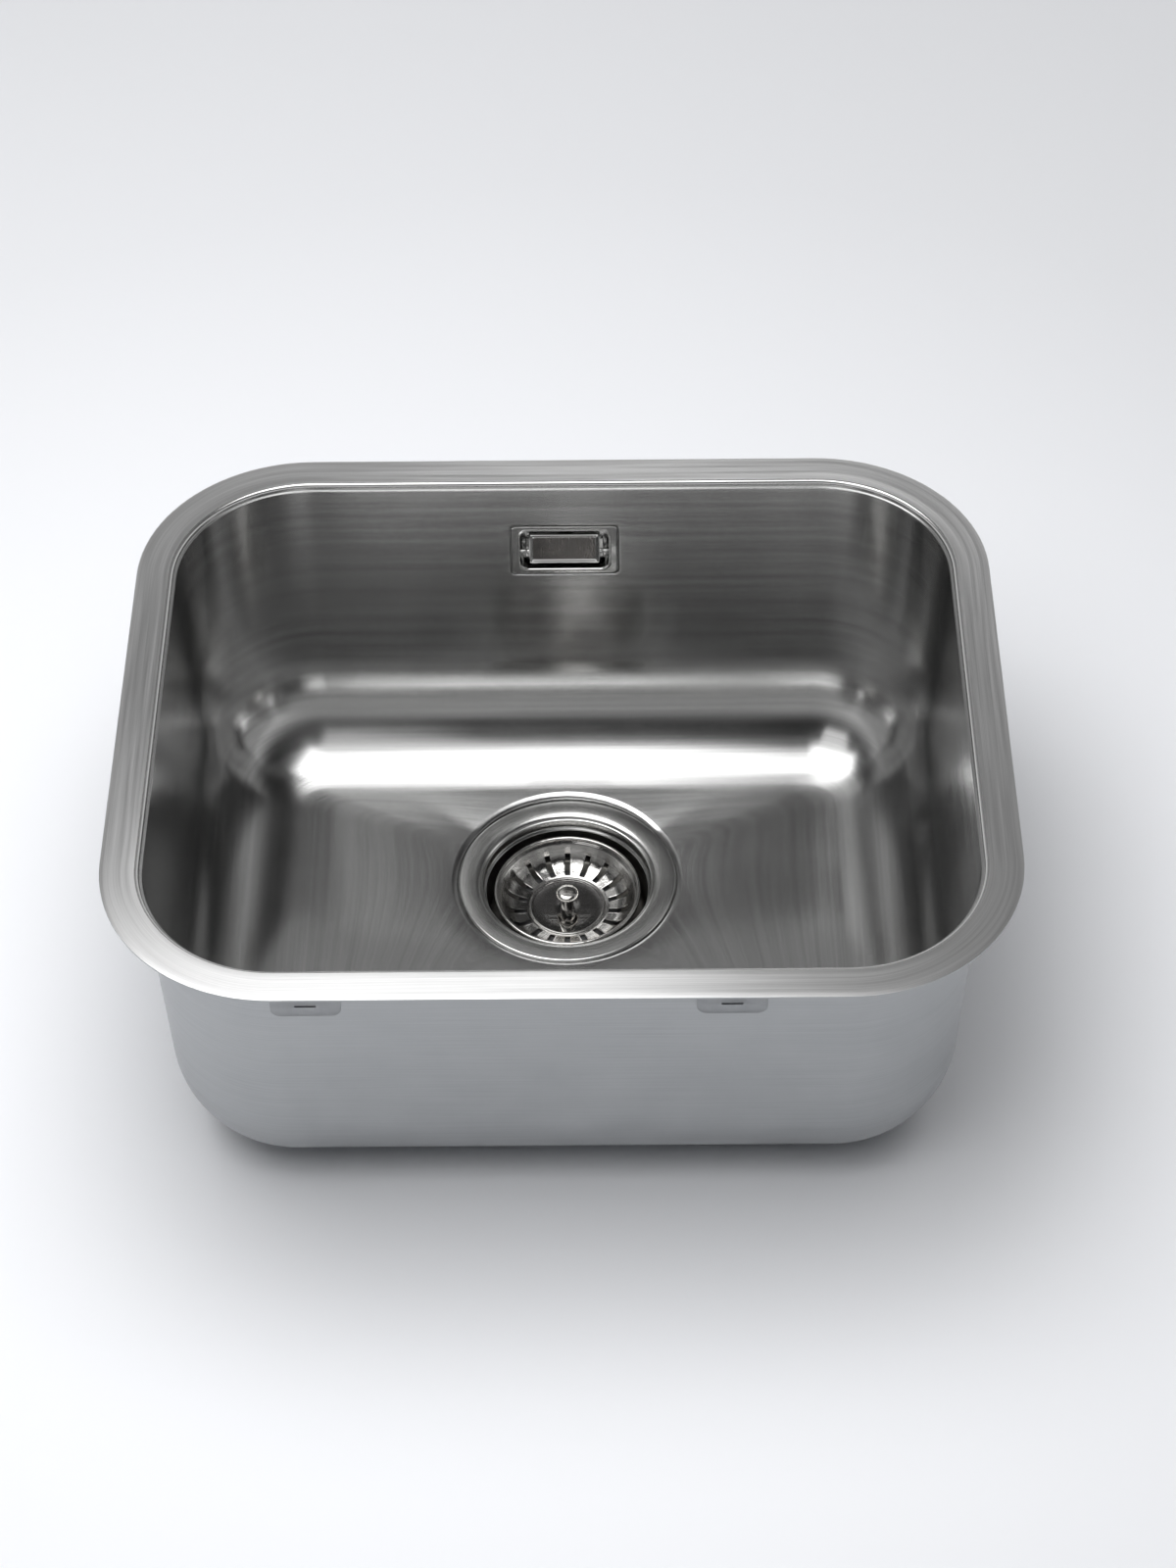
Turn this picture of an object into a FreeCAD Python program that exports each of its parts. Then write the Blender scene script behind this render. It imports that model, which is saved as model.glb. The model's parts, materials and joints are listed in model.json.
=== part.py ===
import FreeCAD, Part
import math
import os
import re

import Sketcher
from FreeCAD import Placement, Rotation, Vector

# Undermount kitchen sink with basket strainer waste and overflow.
# Frame: origin at the centre of the rim's top face, X right, Y to the overflow wall, Z up.
# Sizes are in millimetres and in degrees. Depths are counted down from the face they name.

SIZES = {
    # pressed bowl
    "opening_width": 400.0,
    "opening_length": 335.2,
    "opening_corner": 67.5,
    "rim_width": 18.7,
    "sheet": 1.0,
    "rim_edge_radius": 2.2,
    "collar_depth": 3.4,
    "collar_ledge": 1.0,
    "draft": 2.2,
    "press_depth": 177.0,
    "bottom_radius": 57.7,
    "floor_fall": 1.9,
    "fall_start": 0.25,
    # drain recess
    "drain_y": 48.7,
    "recess_top_radius": 60.6,
    "recess_floor_radius": 59.0,
    "recess_depth": 2.4,
    "waste_hole_radius": 47.0,
    "flange_sink": 0.6,
    # rim brackets
    "bracket_width": 33.0,
    "bracket_top": 5.5,
    "bracket_bottom": 33.7,
    "bracket_sheet": 1.2,
    "bracket_corner": 5.0,
    "bracket_slot_width": 10.2,
    "bracket_slot_height": 1.2,
    "bracket_slot_depth": 26.5,
    "bracket_near": 79.5,
    "bracket_far": 119.5,
    # sound pads under the floor
    "pad_inner": 68.0,
    "pad_width": 62.0,
    "pad_length": 176.0,
    "pad_corner": 8.0,
    "pad_thickness": 2.0,
    # strainer cup, depths below the flange's top
    "flange_radius": 58.45,
    "flange_thickness": 1.3,
    "flange_edge": 0.7,
    "flange_dish": 0.3,
    "flange_inner": 47.3,
    "throat_radius": 45.1,
    "throat_round": 2.4,
    "throat_depth": 7.6,
    "cup_radius": 43.6,
    "cup_depth": 31.8,
    "cup_corner": 3.0,
    "cup_hole_radius": 6.0,
    "cup_hole_circle": 18.0,
    "cup_holes": 6.0,
    # seals between flange, floor and waste body
    "seal_inner": 48.0,
    "seal_outer": 57.0,
    "gasket_thickness": 2.0,
    # basket, depths below the flange's top
    "basket_sheet": 0.8,
    "basket_bead": 1.25,
    "basket_bead_circle": 38.6,
    "basket_bead_depth": 9.8,
    "basket_shoulder": 36.4,
    "basket_shoulder_depth": 11.6,
    "basket_knee": 32.8,
    "basket_knee_depth": 17.2,
    "basket_toe": 29.6,
    "basket_toe_depth": 20.2,
    "basket_floor_edge": 23.0,
    "basket_floor_depth": 22.0,
    "disc_ring_circle": 21.0,
    "disc_ring_half": 0.9,
    "disc_ring_rise": 0.5,
    "disc_depth": 22.4,
    "slot_inner": 23.6,
    "slot_outer": 33.4,
    "slot_width": 2.0,
    "slot_count": 18.0,
    # knob and what hangs under the basket
    "knob_height": 12.4,
    "knob_head_radius": 5.85,
    "knob_head_height": 3.0,
    "knob_shaft_radius": 3.3,
    "knob_foot_radius": 4.6,
    "knob_foot_height": 0.8,
    "stud_radius": 2.5,
    "stopper_radius": 29.5,
    "stopper_thickness": 2.0,
    "stopper_lip": 2.6,
    "stopper_gap": 0.1,
    "seal_plate_radius": 16.0,
    "seal_plate_thickness": 0.8,
    "guide_nut_radius": 5.2,
    "guide_nut_height": 3.0,
    "guide_pin_radius": 2.45,
    "guide_pin_depth": 38.0,
    "guide_ring_depth": 34.5,
    "guide_ring_radius": 0.7,
    # fixing screw and its insert
    "screw_head_radius": 8.0,
    "screw_head_height": 1.8,
    "screw_radius": 4.0,
    "screw_end": 49.0,
    "screw_bore_clearance": 0.1,
    "screw_bore_end": 40.5,
    "insert_radius": 6.5,
    "insert_top": 41.0,
    "insert_end": 50.0,
    # waste body
    "body_collar_radius": 57.5,
    "body_collar_height": 3.6,
    "body_radius": 52.0,
    "body_wall": 3.0,
    "boss_radius": 10.0,
    "outlet_radius": 23.9,
    "outlet_neck_radius": 23.2,
    "outlet_neck_end": 60.0,
    "outlet_bore": 20.0,
    "outlet_depth": 29.0,
    "outlet_reach": 90.0,
    "inlet_depth": 24.8,
    "inlet_reach": 66.0,
    # overflow, in the plane of the rear wall
    "overflow_depth": 45.0,
    "overflow_recess_width": 59.0,
    "overflow_recess_height": 35.0,
    "overflow_recess_slope": 2.0,
    "overflow_recess_depth": 2.0,
    "overflow_hole_width": 50.0,
    "overflow_hole_height": 29.0,
    "frame_width": 54.5,
    "frame_height": 30.4,
    "frame_corner": 1.5,
    "frame_plate": 2.0,
    "well_width": 47.0,
    "well_height": 26.0,
    "well_corner": 5.0,
    "well_depth": 9.0,
    "well_wall": 1.0,
    "well_slot_width": 34.0,
    "well_slot_height": 4.4,
    "well_slot_height_at": 9.4,
    "lug_length": 3.0,
    "lug_half": 2.2,
    "pivot_drop": 2.8,
    "pivot_in": 2.9,
    "pivot_radius": 1.2,
    "pivot_collar_radius": 1.8,
    "pivot_clearance": 0.1,
    "plate_width": 35.0,
    "plate_height": 17.0,
    "plate_front": 0.9,
    "plate_thickness": 2.6,
    "plate_bevel": 1.3,
    "overflow_screw_radius": 2.0,
    "overflow_screw_head": 4.0,
    "overflow_screw_head_height": 2.0,
    "overflow_screw_end": 21.0,
    "overflow_gasket_width": 55.6,
    "overflow_gasket_height": 31.6,
    "overflow_gasket_thickness": 1.5,
    "housing_flange_width": 62.0,
    "housing_flange_height": 38.0,
    "housing_flange_thickness": 3.0,
    "housing_width": 54.0,
    "housing_height": 33.0,
    "housing_back": 30.0,
    "housing_wall": 2.0,
    "housing_boss_radius": 6.0,
    "overflow_nut_radius": 4.0,
    "overflow_nut_from": 15.0,
    "overflow_nut_to": 20.0,
    # overflow pipe and its two nuts
    "pipe_in": 17.5,
    "pipe_radius": 10.0,
    "pipe_wall": 1.5,
    "pipe_bend": 30.0,
    "pipe_insert": 12.0,
    "socket_radius": 12.0,
    "socket_bottom": 36.0,
    "pipe_nut_radius": 14.5,
    "pipe_nut_grip": 9.0,
    "pipe_seal_radius": 12.6,
    "pipe_seal_height": 3.0,
    "pipe_nut_lip": 2.0,
    "pipe_nut_ribs": 12.0,
}

doc = FreeCAD.newDocument("undermount_sink")
sheet = doc.addObject("Spreadsheet::Sheet", "sizes")
for row, (alias, value) in enumerate(SIZES.items(), start=1):
    sheet.set(f"A{row}", alias)
    sheet.set(f"B{row}", str(value))
    sheet.setAlias(f"B{row}", alias)
doc.recompute()

WORD = re.compile(r"[a-z_]+")
nodes = []


def formula(text):
    """Write the sheet's name before each of its aliases."""
    return WORD.sub(lambda m: "sizes." + m.group() if m.group() in SIZES else m.group(), text)


def size(text):
    """The number that a formula of aliases gives."""
    return float(sheet.evalExpression(formula(text)))


def bind(thing, **properties):
    """Bind properties to formulas; a double underscore stands for a dot."""
    for name, text in properties.items():
        thing.setExpression(name.replace("__", "."), formula(text))


def node(thing, label, place=None):
    """Make a shape object one of the sink's pieces."""
    thing.Label = label
    if place is not None:
        thing.Placement = place
    nodes.append(thing)
    return thing


# ---------------------------------------------------------------- sketches and features

def new_body(name):
    return doc.addObject("PartDesign::Body", name)


def origin_plane(body, role):
    return next(f for f in body.Origin.OriginFeatures if f.Role == role)


def new_sketch(body, name, role, offset="0"):
    sketch = body.newObject("Sketcher::SketchObject", name)
    sketch.AttachmentSupport = [(origin_plane(body, role), "")]
    sketch.MapMode = "FlatFace"
    bind(sketch, AttachmentOffset__Base__z=offset)
    return sketch


def datum(sketch, name, kind, *where, value):
    """Add a dimension and bind it to a formula."""
    index = sketch.addConstraint(Sketcher.Constraint(kind, *where, size(value)))
    sketch.renameConstraint(index, name)
    bind(sketch, **{"Constraints__" + name: value})


def polygon(sketch, points):
    """A closed outline whose corners are pairs of formulas."""
    corners = [Vector(size(x), size(y), 0) for x, y in points]
    first = sketch.GeometryCount
    count = len(corners)
    for i in range(count):
        sketch.addGeometry(Part.LineSegment(corners[i], corners[(i + 1) % count]), False)
    for i in range(count):
        here, following = first + i, first + (i + 1) % count
        sketch.addConstraint(Sketcher.Constraint("Coincident", here, 2, following, 1))
    for i, (x, y) in enumerate(points):
        datum(sketch, f"x{first + i}", "DistanceX", -1, 1, first + i, 1, value=x)
        datum(sketch, f"y{first + i}", "DistanceY", -1, 1, first + i, 1, value=y)


def circle(sketch, radius, x="0", y="0"):
    centre = Vector(size(x), size(y), 0)
    index = sketch.addGeometry(Part.Circle(centre, Vector(0, 0, 1), size(radius)), False)
    datum(sketch, f"r{index}", "Radius", index, value=radius)
    datum(sketch, f"x{index}", "DistanceX", -1, 1, index, 3, value=x)
    datum(sketch, f"y{index}", "DistanceY", -1, 1, index, 3, value=y)


def rounded_rectangle(sketch, width, height, corner, x="0", y="0"):
    """Four lines and four arcs, tangent where they meet."""
    half_w, half_h, r = size(width) / 2, size(height) / 2, size(corner)
    middle = Vector(size(x), size(y), 0)
    first = sketch.GeometryCount
    for i in range(4):
        # side i runs anticlockwise; its corner arc follows it
        turn = Rotation(Vector(0, 0, 1), 90 * i)
        reach, run = (half_h, half_w - r) if i % 2 == 0 else (half_w, half_h - r)
        start = middle + turn.multVec(Vector(-run, -reach, 0))
        end = middle + turn.multVec(Vector(run, -reach, 0))
        centre = middle + turn.multVec(Vector(run, r - reach, 0))
        sketch.addGeometry(Part.LineSegment(start, end), False)
        begin = math.radians(90 * i - 90)
        arc = Part.ArcOfCircle(Part.Circle(centre, Vector(0, 0, 1), r), begin, begin + math.pi / 2)
        sketch.addGeometry(arc, False)
    for i in range(8):
        here, following = first + i, first + (i + 1) % 8
        sketch.addConstraint(Sketcher.Constraint("Tangent", here, 2, following, 1))
    for i in (0, 4):
        sketch.addConstraint(Sketcher.Constraint("Horizontal", first + i))
        sketch.addConstraint(Sketcher.Constraint("Vertical", first + i + 2))
    for i in (3, 5, 7):
        sketch.addConstraint(Sketcher.Constraint("Equal", first + 1, first + i))
    datum(sketch, f"corner{first}", "Radius", first + 1, value=corner)
    # two opposite corner arcs are placed by their centres
    for i, sign in ((1, ""), (5, "-")):
        across = f"({x}) + {sign}(({width}) / 2 - ({corner}))"
        along = f"({y}) - {sign}(({height}) / 2 - ({corner}))"
        datum(sketch, f"x{first + i}", "DistanceX", -1, 1, first + i, 3, value=across)
        datum(sketch, f"y{first + i}", "DistanceY", -1, 1, first + i, 3, value=along)


def pad(body, sketch, length, down=False):
    feature = body.newObject("PartDesign::Pad", "pad")
    feature.Profile = sketch
    feature.Reversed = down
    bind(feature, Length=length)
    doc.recompute()
    return feature


def pocket(body, sketch, depth, reverse=False):
    feature = body.newObject("PartDesign::Pocket", "pocket")
    feature.Profile = sketch
    feature.Reversed = reverse
    bind(feature, Length=depth)
    doc.recompute()
    return feature


def revolve(body, sketch, role="Z_Axis"):
    feature = body.newObject("PartDesign::Revolution", "turned")
    feature.Profile = sketch
    feature.ReferenceAxis = (origin_plane(body, role), [""])
    feature.Angle = 360
    doc.recompute()
    return feature


def polar(body, feature, count, role="Z_Axis"):
    pattern = body.newObject("PartDesign::PolarPattern", "round")
    pattern.Originals = [feature]
    pattern.Axis = (origin_plane(body, role), [""])
    pattern.Angle = 360
    bind(pattern, Occurrences=count)
    body.Tip = pattern
    doc.recompute()
    return pattern


def fillet(body, base, radius, chosen, kind="Fillet"):
    """Round the edges of the base feature that pass the test."""
    names = [f"Edge{i + 1}" for i, edge in enumerate(base.Shape.Edges) if chosen(edge)]
    feature = body.newObject("PartDesign::" + kind, kind.lower())
    feature.Base = (base, names)
    bind(feature, **{"Radius" if kind == "Fillet" else "Size": radius})
    doc.recompute()
    return feature


def turned(label, points, place):
    """A body of revolution about its own Z axis, from a half section of (radius, height)."""
    body = new_body(label)
    section = new_sketch(body, label + "_section", "XZ_Plane")
    polygon(section, points)
    revolve(body, section)
    return node(body, label, place)


def at_height(edge, height, tolerance=1e-3):
    return all(abs(v.Point.z - height) < tolerance for v in edge.Vertexes)


# ---------------------------------------------------------------- bowl

def pressed_form(name, skin):
    """The tapered bowl form, rounded at the bottom; skin is what it stands proud of the cavity."""
    body = new_body(name)
    width = f"opening_width - 2 * collar_ledge + 2 * {skin}"
    length = f"opening_length - 2 * collar_ledge + 2 * {skin}"
    corner = f"opening_corner - collar_ledge + {skin}"
    depth = f"press_depth - sheet + {skin}"
    shrink = f"tan(draft * 1deg) * ({depth})"
    mouth = new_sketch(body, name + "_mouth", "XY_Plane")
    rounded_rectangle(mouth, width, length, corner)
    bottom = new_sketch(body, name + "_bottom", "XY_Plane", f"-({depth})")
    rounded_rectangle(
        bottom,
        f"{width} - 2 * {shrink}",
        f"{length} - 2 * {shrink}",
        f"{corner} - {shrink}",
    )
    loft = body.newObject("PartDesign::AdditiveLoft", name + "_walls")
    loft.Profile = mouth
    loft.Sections = [bottom]
    loft.Ruled = True
    doc.recompute()
    low = -size(depth)
    fillet(body, loft, f"bottom_radius - sheet + {skin}", lambda edge: at_height(edge, low))
    return body


def eight_edges(ends, middles, height):
    """A closed wire of arcs through the given points; a straight one where they are in line."""
    edges = []
    for i in range(8):
        a, b = Vector(*ends[i], height), Vector(*ends[(i + 1) % 8], height)
        if middles[i] is None:
            edges.append(Part.LineSegment(a, b).toShape())
        else:
            edges.append(Part.Arc(a, Vector(*middles[i], height), b).toShape())
    return Part.Wire(edges)


def floor_fall(name, skin):
    """Four shallow facets down to the drain recess, from where the bottom fillet flattens out."""
    depth = size(f"press_depth - sheet + {skin}")
    rounding = size(f"bottom_radius - sheet + {skin}")
    start = size("fall_start")
    # the fillet is this far out from its tangent line where it has risen by the start height
    spread = math.sqrt(2 * rounding * start - start ** 2) - start
    shrink = size("tan(draft * 1deg)") * depth + rounding * size("tan((90 - draft) / 2 * 1deg)") - spread
    half_x = size(f"opening_width / 2 - collar_ledge + {skin}") - shrink
    half_y = size(f"opening_length / 2 - collar_ledge + {skin}") - shrink
    corner = size(f"opening_corner - collar_ledge + {skin}") - shrink
    drain_y = size("drain_y")
    radius = size("recess_top_radius") + size(skin)
    outer, outer_mid, inner, inner_mid = [], [], [], []
    for i in range(4):
        # corner i, anticlockwise from the one at low X, low Y
        sx, sy = (-1, 1, 1, -1)[i], (-1, -1, 1, 1)[i]
        cx, cy = sx * (half_x - corner), sy * (half_y - corner)
        for step in (0, 1, 2):
            angle = math.pi + i * math.pi / 2 + step * math.pi / 4
            point = (cx + corner * math.cos(angle), cy + corner * math.sin(angle))
            toward = math.atan2(point[1] - drain_y, point[0])
            ring = (radius * math.cos(toward), drain_y + radius * math.sin(toward))
            (outer_mid if step == 1 else outer).append(point)
            (inner_mid if step == 1 else inner).append(ring)
        outer_mid.append(None)
        # the arc that faces the straight side between this corner and the next
        side = (0, half_x, 0, -half_x)[i], (-half_y, 0, half_y, 0)[i]
        toward = math.atan2(side[1] - drain_y, side[0])
        inner_mid.append((radius * math.cos(toward), drain_y + radius * math.sin(toward)))
    top = eight_edges(outer, outer_mid, start - depth)
    low = eight_edges(inner, inner_mid, -depth - size("floor_fall"))
    feature = doc.addObject("Part::Feature", name)
    feature.Shape = Part.makeLoft([top, low], True, True)
    return feature


def fuse(name, parts):
    feature = doc.addObject("Part::MultiFuse", name)
    feature.Shapes = parts
    return feature


def cut(name, base, tool):
    feature = doc.addObject("Part::Cut", name)
    feature.Base = base
    feature.Tool = tool
    return feature


FLOOR_EDGE = "press_depth - sheet + floor_fall"
DRAIN = Vector(0, size("drain_y"), 0)


def drain_cone(name, top_radius, low_radius, top_depth, height):
    cone = doc.addObject("Part::Cone", name)
    bind(cone, Radius1=low_radius, Radius2=top_radius, Height=height)
    bind(cone, Placement__Base__y="drain_y", Placement__Base__z=f"-({top_depth}) - ({height})")
    return cone


def drain_cylinder(name, radius, top_depth, height):
    cylinder = doc.addObject("Part::Cylinder", name)
    bind(cylinder, Radius=radius, Height=height)
    bind(cylinder, Placement__Base__y="drain_y", Placement__Base__z=f"-({top_depth}) - ({height})")
    return cylinder


# The rear wall's inner face at the overflow, and the frame that its pieces are drawn in:
# Y straight out through the wall, Z up along it.
WALL_IN = "opening_length / 2 - collar_ledge"
WALL_AT_OVERFLOW = f"{WALL_IN} - tan(draft * 1deg) * overflow_depth"
overflow_place = Placement(
    Vector(0, size(WALL_AT_OVERFLOW), -size("overflow_depth")),
    Rotation(Vector(1, 0, 0), -size("draft")),
)


def overflow_wedge(name, grow, y_from, y_to):
    """The stamped recess with sloping sides, or the same grown by the sheet."""
    wedge = doc.addObject("Part::Wedge", name)
    wide = f"overflow_recess_width / 2 + {grow}"
    tall = f"overflow_recess_height / 2 + {grow}"
    bind(wedge, Ymin=y_from, Ymax=y_to)
    bind(wedge, Xmin=f"-({wide})", Xmax=wide, Zmin=f"-({tall})", Zmax=tall)
    bind(wedge, X2min=f"-({wide}) + overflow_recess_slope", X2max=f"{wide} - overflow_recess_slope")
    bind(wedge, Z2min=f"-({tall}) + overflow_recess_slope", Z2max=f"{tall} - overflow_recess_slope")
    wedge.Placement = overflow_place
    return wedge


def rounded_block(name, width, height, corner, y_from, y_to, place=None):
    """A rounded rectangle in the XZ plane, drawn out along Y."""
    body = new_body(name)
    face = new_sketch(body, name + "_face", "XZ_Plane", f"-({y_to})")
    rounded_rectangle(face, width, height, corner)
    pad(body, face, f"({y_to}) - ({y_from})")
    if place is not None:
        body.Placement = place
    return body


rim = new_body("rim_plate")
rim_outline = new_sketch(rim, "rim_outline", "XY_Plane")
rounded_rectangle(
    rim_outline,
    "opening_width + 2 * rim_width",
    "opening_length + 2 * rim_width",
    "opening_corner + rim_width",
)
pad(rim, rim_outline, "sheet", down=True)

collar = new_body("collar_outside")
collar_outline = new_sketch(collar, "collar_outline", "XY_Plane")
rounded_rectangle(
    collar_outline,
    "opening_width + 2 * sheet",
    "opening_length + 2 * sheet",
    "opening_corner + sheet",
)
pad(collar, collar_outline, "collar_depth + sheet", down=True)

mouth = new_body("collar_inside")
mouth_outline = new_sketch(mouth, "mouth_outline", "XY_Plane")
rounded_rectangle(mouth_outline, "opening_width", "opening_length", "opening_corner")
pad(mouth, mouth_outline, "collar_depth", down=True)

bowl_outside = fuse("bowl_outside", [
    rim,
    collar,
    pressed_form("outer_form", "sheet"),
    floor_fall("outer_fall", "sheet"),
    drain_cone("outer_recess", "recess_top_radius + sheet", "recess_floor_radius + sheet",
               FLOOR_EDGE + " + sheet", "recess_depth"),
    overflow_wedge("outer_overflow", "sheet", "0", "overflow_recess_depth + sheet"),
])
bowl_inside = fuse("bowl_inside", [
    mouth,
    pressed_form("inner_form", "0"),
    floor_fall("inner_fall", "0"),
    drain_cone("inner_recess", "recess_top_radius", "recess_floor_radius", FLOOR_EDGE, "recess_depth"),
    drain_cylinder("waste_hole", "waste_hole_radius", FLOOR_EDGE, "recess_depth + 2 * sheet"),
    overflow_wedge("inner_overflow", "0", "0", "overflow_recess_depth"),
    rounded_block("overflow_hole", "overflow_hole_width", "overflow_hole_height",
                  "well_corner + well_wall", "0", "overflow_recess_depth + 2 * sheet", overflow_place),
])
bowl_sharp = cut("bowl_sharp", bowl_outside, bowl_inside)
doc.recompute()

bowl = doc.addObject("Part::Fillet", "bowl")
bowl.Base = bowl_sharp


def on_mouth(edge):
    """The sharp edge where the rim's top face turns down into the opening."""
    box = edge.BoundBox
    reach_x = max(-box.XMin, box.XMax)
    reach_y = max(-box.YMin, box.YMax)
    level = abs(box.ZMax) < 1e-6 and abs(box.ZMin) < 1e-6
    slack = 0.01
    within = reach_x < size("opening_width") / 2 + slack and reach_y < size("opening_length") / 2 + slack
    return level and within


edge_radius = size("rim_edge_radius")
bowl.Edges = [
    (i + 1, edge_radius, edge_radius)
    for i, edge in enumerate(bowl_sharp.Shape.Edges) if on_mouth(edge)
]
node(bowl, "bowl")
doc.recompute()
print("bowl", bowl.Shape.isValid(), len(bowl.Shape.Solids), round(bowl.Shape.Volume), bowl.Shape.BoundBox)

# ---------------------------------------------------------------- what is welded or stuck to the bowl

def bracket(label, turn, along, wall):
    """A clip plate under the rim; wall is the outer face's distance from the origin at the rim."""
    body = new_body(label)
    outline = new_sketch(body, label + "_outline", "XZ_Plane")
    height = "bracket_bottom - bracket_top"
    rounded_rectangle(outline, "bracket_width", height, "bracket_corner")
    pad(body, outline, "bracket_sheet")
    slot = new_sketch(body, label + "_slot", "XZ_Plane")
    rounded_rectangle(slot, "bracket_slot_width", "bracket_slot_height", "bracket_slot_height / 2 - 0.05",
                      y="(bracket_top + bracket_bottom) / 2 - bracket_slot_depth")
    pocket(body, slot, "bracket_sheet", reverse=True)
    middle = (size("bracket_top") + size("bracket_bottom")) / 2
    lean = size("draft")
    out = size(wall) - math.tan(math.radians(lean)) * middle
    stand = Placement(Vector(size(along), -out, -middle), Rotation(Vector(1, 0, 0), lean))
    return node(body, label, Placement(Vector(0, 0, 0), Rotation(Vector(0, 0, 1), turn)) * stand)


FRONT_WALL = "opening_length / 2 - collar_ledge + sheet"
SIDE_WALL = "opening_width / 2 - collar_ledge + sheet"
bracket("rim_bracket_front_left", 0, "-bracket_far", FRONT_WALL)
bracket("rim_bracket_front_right", 0, "bracket_near", FRONT_WALL)
bracket("rim_bracket_rear_left", 180, "bracket_near", FRONT_WALL)
bracket("rim_bracket_rear_right", 180, "-bracket_far", FRONT_WALL)
bracket("rim_bracket_left", 270, "0", SIDE_WALL)
bracket("rim_bracket_right", 90, "0", SIDE_WALL)

# Two damping pads follow the floor's underside: a lowered copy of the outer form, trimmed to
# two outlines, less the outer form itself.
pad_outlines = new_body("pad_outlines")
PADS_FROM = "-(press_depth + floor_fall + 2 * pad_thickness)"
pads_sketch = new_sketch(pad_outlines, "pads_sketch", "XY_Plane", PADS_FROM)
for side in ("-1", "1"):
    rounded_rectangle(pads_sketch, "pad_width", "pad_length", "pad_corner",
                      x=f"{side} * (pad_inner + pad_width / 2)")
pad(pad_outlines, pads_sketch, "floor_fall + 3 * pad_thickness")

floor_outside = fuse("floor_outside", [pressed_form("pad_form", "sheet"), floor_fall("pad_fall", "sheet")])
lowered = doc.addObject("Part::MultiFuse", "lowered_floor")
lowered.Shapes = [pressed_form("lowered_form", "sheet"), floor_fall("lowered_fall", "sheet")]
bind(lowered, Placement__Base__z="-pad_thickness")
pad_blank = doc.addObject("Part::Common", "pad_blank")
pad_blank.Base = pad_outlines
pad_blank.Tool = lowered
node(cut("sound_pads", pad_blank, floor_outside), "sound_pads")

# ---------------------------------------------------------------- strainer cup and waste body

# Everything round the drain is drawn about the drain's axis, down from the flange's top face.
FLANGE = f"{FLOOR_EDGE} + flange_sink"
drain_place = Placement(Vector(0, size("drain_y"), -size(FLANGE)), Rotation())

cup = new_body("strainer_cup")
cup_section = new_sketch(cup, "cup_section", "XZ_Plane")
polygon(cup_section, [
    ("flange_radius", "-flange_thickness"),
    ("flange_radius", "-flange_edge"),
    ("flange_radius - flange_edge", "0"),
    ("flange_inner", "-flange_dish"),
    ("throat_radius + 0.2 * throat_round", "-flange_dish - 0.35 * throat_round"),
    ("throat_radius", "-flange_dish - throat_round"),
    ("throat_radius", "-throat_depth"),
    ("throat_radius - 0.6", "-throat_depth - 0.4"),
    ("cup_radius", "-throat_depth - 0.6"),
    ("cup_radius", "-cup_depth + cup_corner"),
    ("cup_radius - 0.3 * cup_corner", "-cup_depth + 0.3 * cup_corner"),
    ("cup_radius - cup_corner", "-cup_depth"),
    ("screw_radius + 0.2", "-cup_depth"),
    ("screw_radius + 0.2", "-cup_depth - sheet"),
    ("cup_radius - cup_corner + 0.4", "-cup_depth - sheet"),
    ("cup_radius + 0.7 * sheet - 0.3 * cup_corner", "-cup_depth - 0.7 * sheet + 0.3 * cup_corner"),
    ("cup_radius + sheet", "-cup_depth + cup_corner - 0.4"),
    ("cup_radius + sheet", "-throat_depth - 0.6 - sheet"),
    ("throat_radius + sheet", "-throat_depth - sheet"),
    ("throat_radius + sheet", "-flange_thickness - 0.8"),
    ("throat_radius + sheet + 0.8", "-flange_thickness"),
])
revolve(cup, cup_section)
cup_hole = new_sketch(cup, "cup_hole", "XY_Plane", "-cup_depth + sheet")
circle(cup_hole, "cup_hole_radius", x="cup_hole_circle")
polar(cup, pocket(cup, cup_hole, "3 * sheet"), "cup_holes")
node(cup, "strainer_cup", drain_place)

RECESS_FLOOR = "flange_sink - recess_depth"
turned("flange_seal", [
    ("seal_inner", RECESS_FLOOR),
    ("seal_outer", RECESS_FLOOR),
    ("seal_outer", "-flange_thickness"),
    ("seal_inner", "-flange_thickness"),
], drain_place)

BODY_TOP = f"{RECESS_FLOOR} - sheet - gasket_thickness"
turned("body_gasket", [
    ("seal_inner", BODY_TOP),
    ("seal_outer", BODY_TOP),
    ("seal_outer", f"{RECESS_FLOOR} - sheet"),
    ("seal_inner", f"{RECESS_FLOOR} - sheet"),
], drain_place)

# The waste body is one moulding: a collar, a pot, a boss for the insert, the outlet to the
# left and the overflow inlet to the rear. Its floor is level with the outlet's underside.
BODY_END = "outlet_depth + outlet_radius"


def half_section(name, points):
    body = new_body(name)
    section = new_sketch(body, name + "_section", "XZ_Plane")
    polygon(section, points)
    revolve(body, section)
    body.Placement = drain_place
    return body


def level_tube(name, radius, reach, depth, turn, start="0"):
    """A level rod outwards from the drain's axis, turned about that axis from +X."""
    rod = doc.addObject("Part::Cylinder", name)
    bind(rod, Radius=radius, Height=f"({reach}) - ({start})")
    lying = Rotation(Vector(0, 0, 1), turn) * Rotation(Vector(0, 1, 0), 90)
    outward = Placement(Vector(0, 0, size(start)), Rotation())
    rod.Placement = drain_place * Placement(Vector(0, 0, -size(depth)), lying) * outward
    return rod


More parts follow.
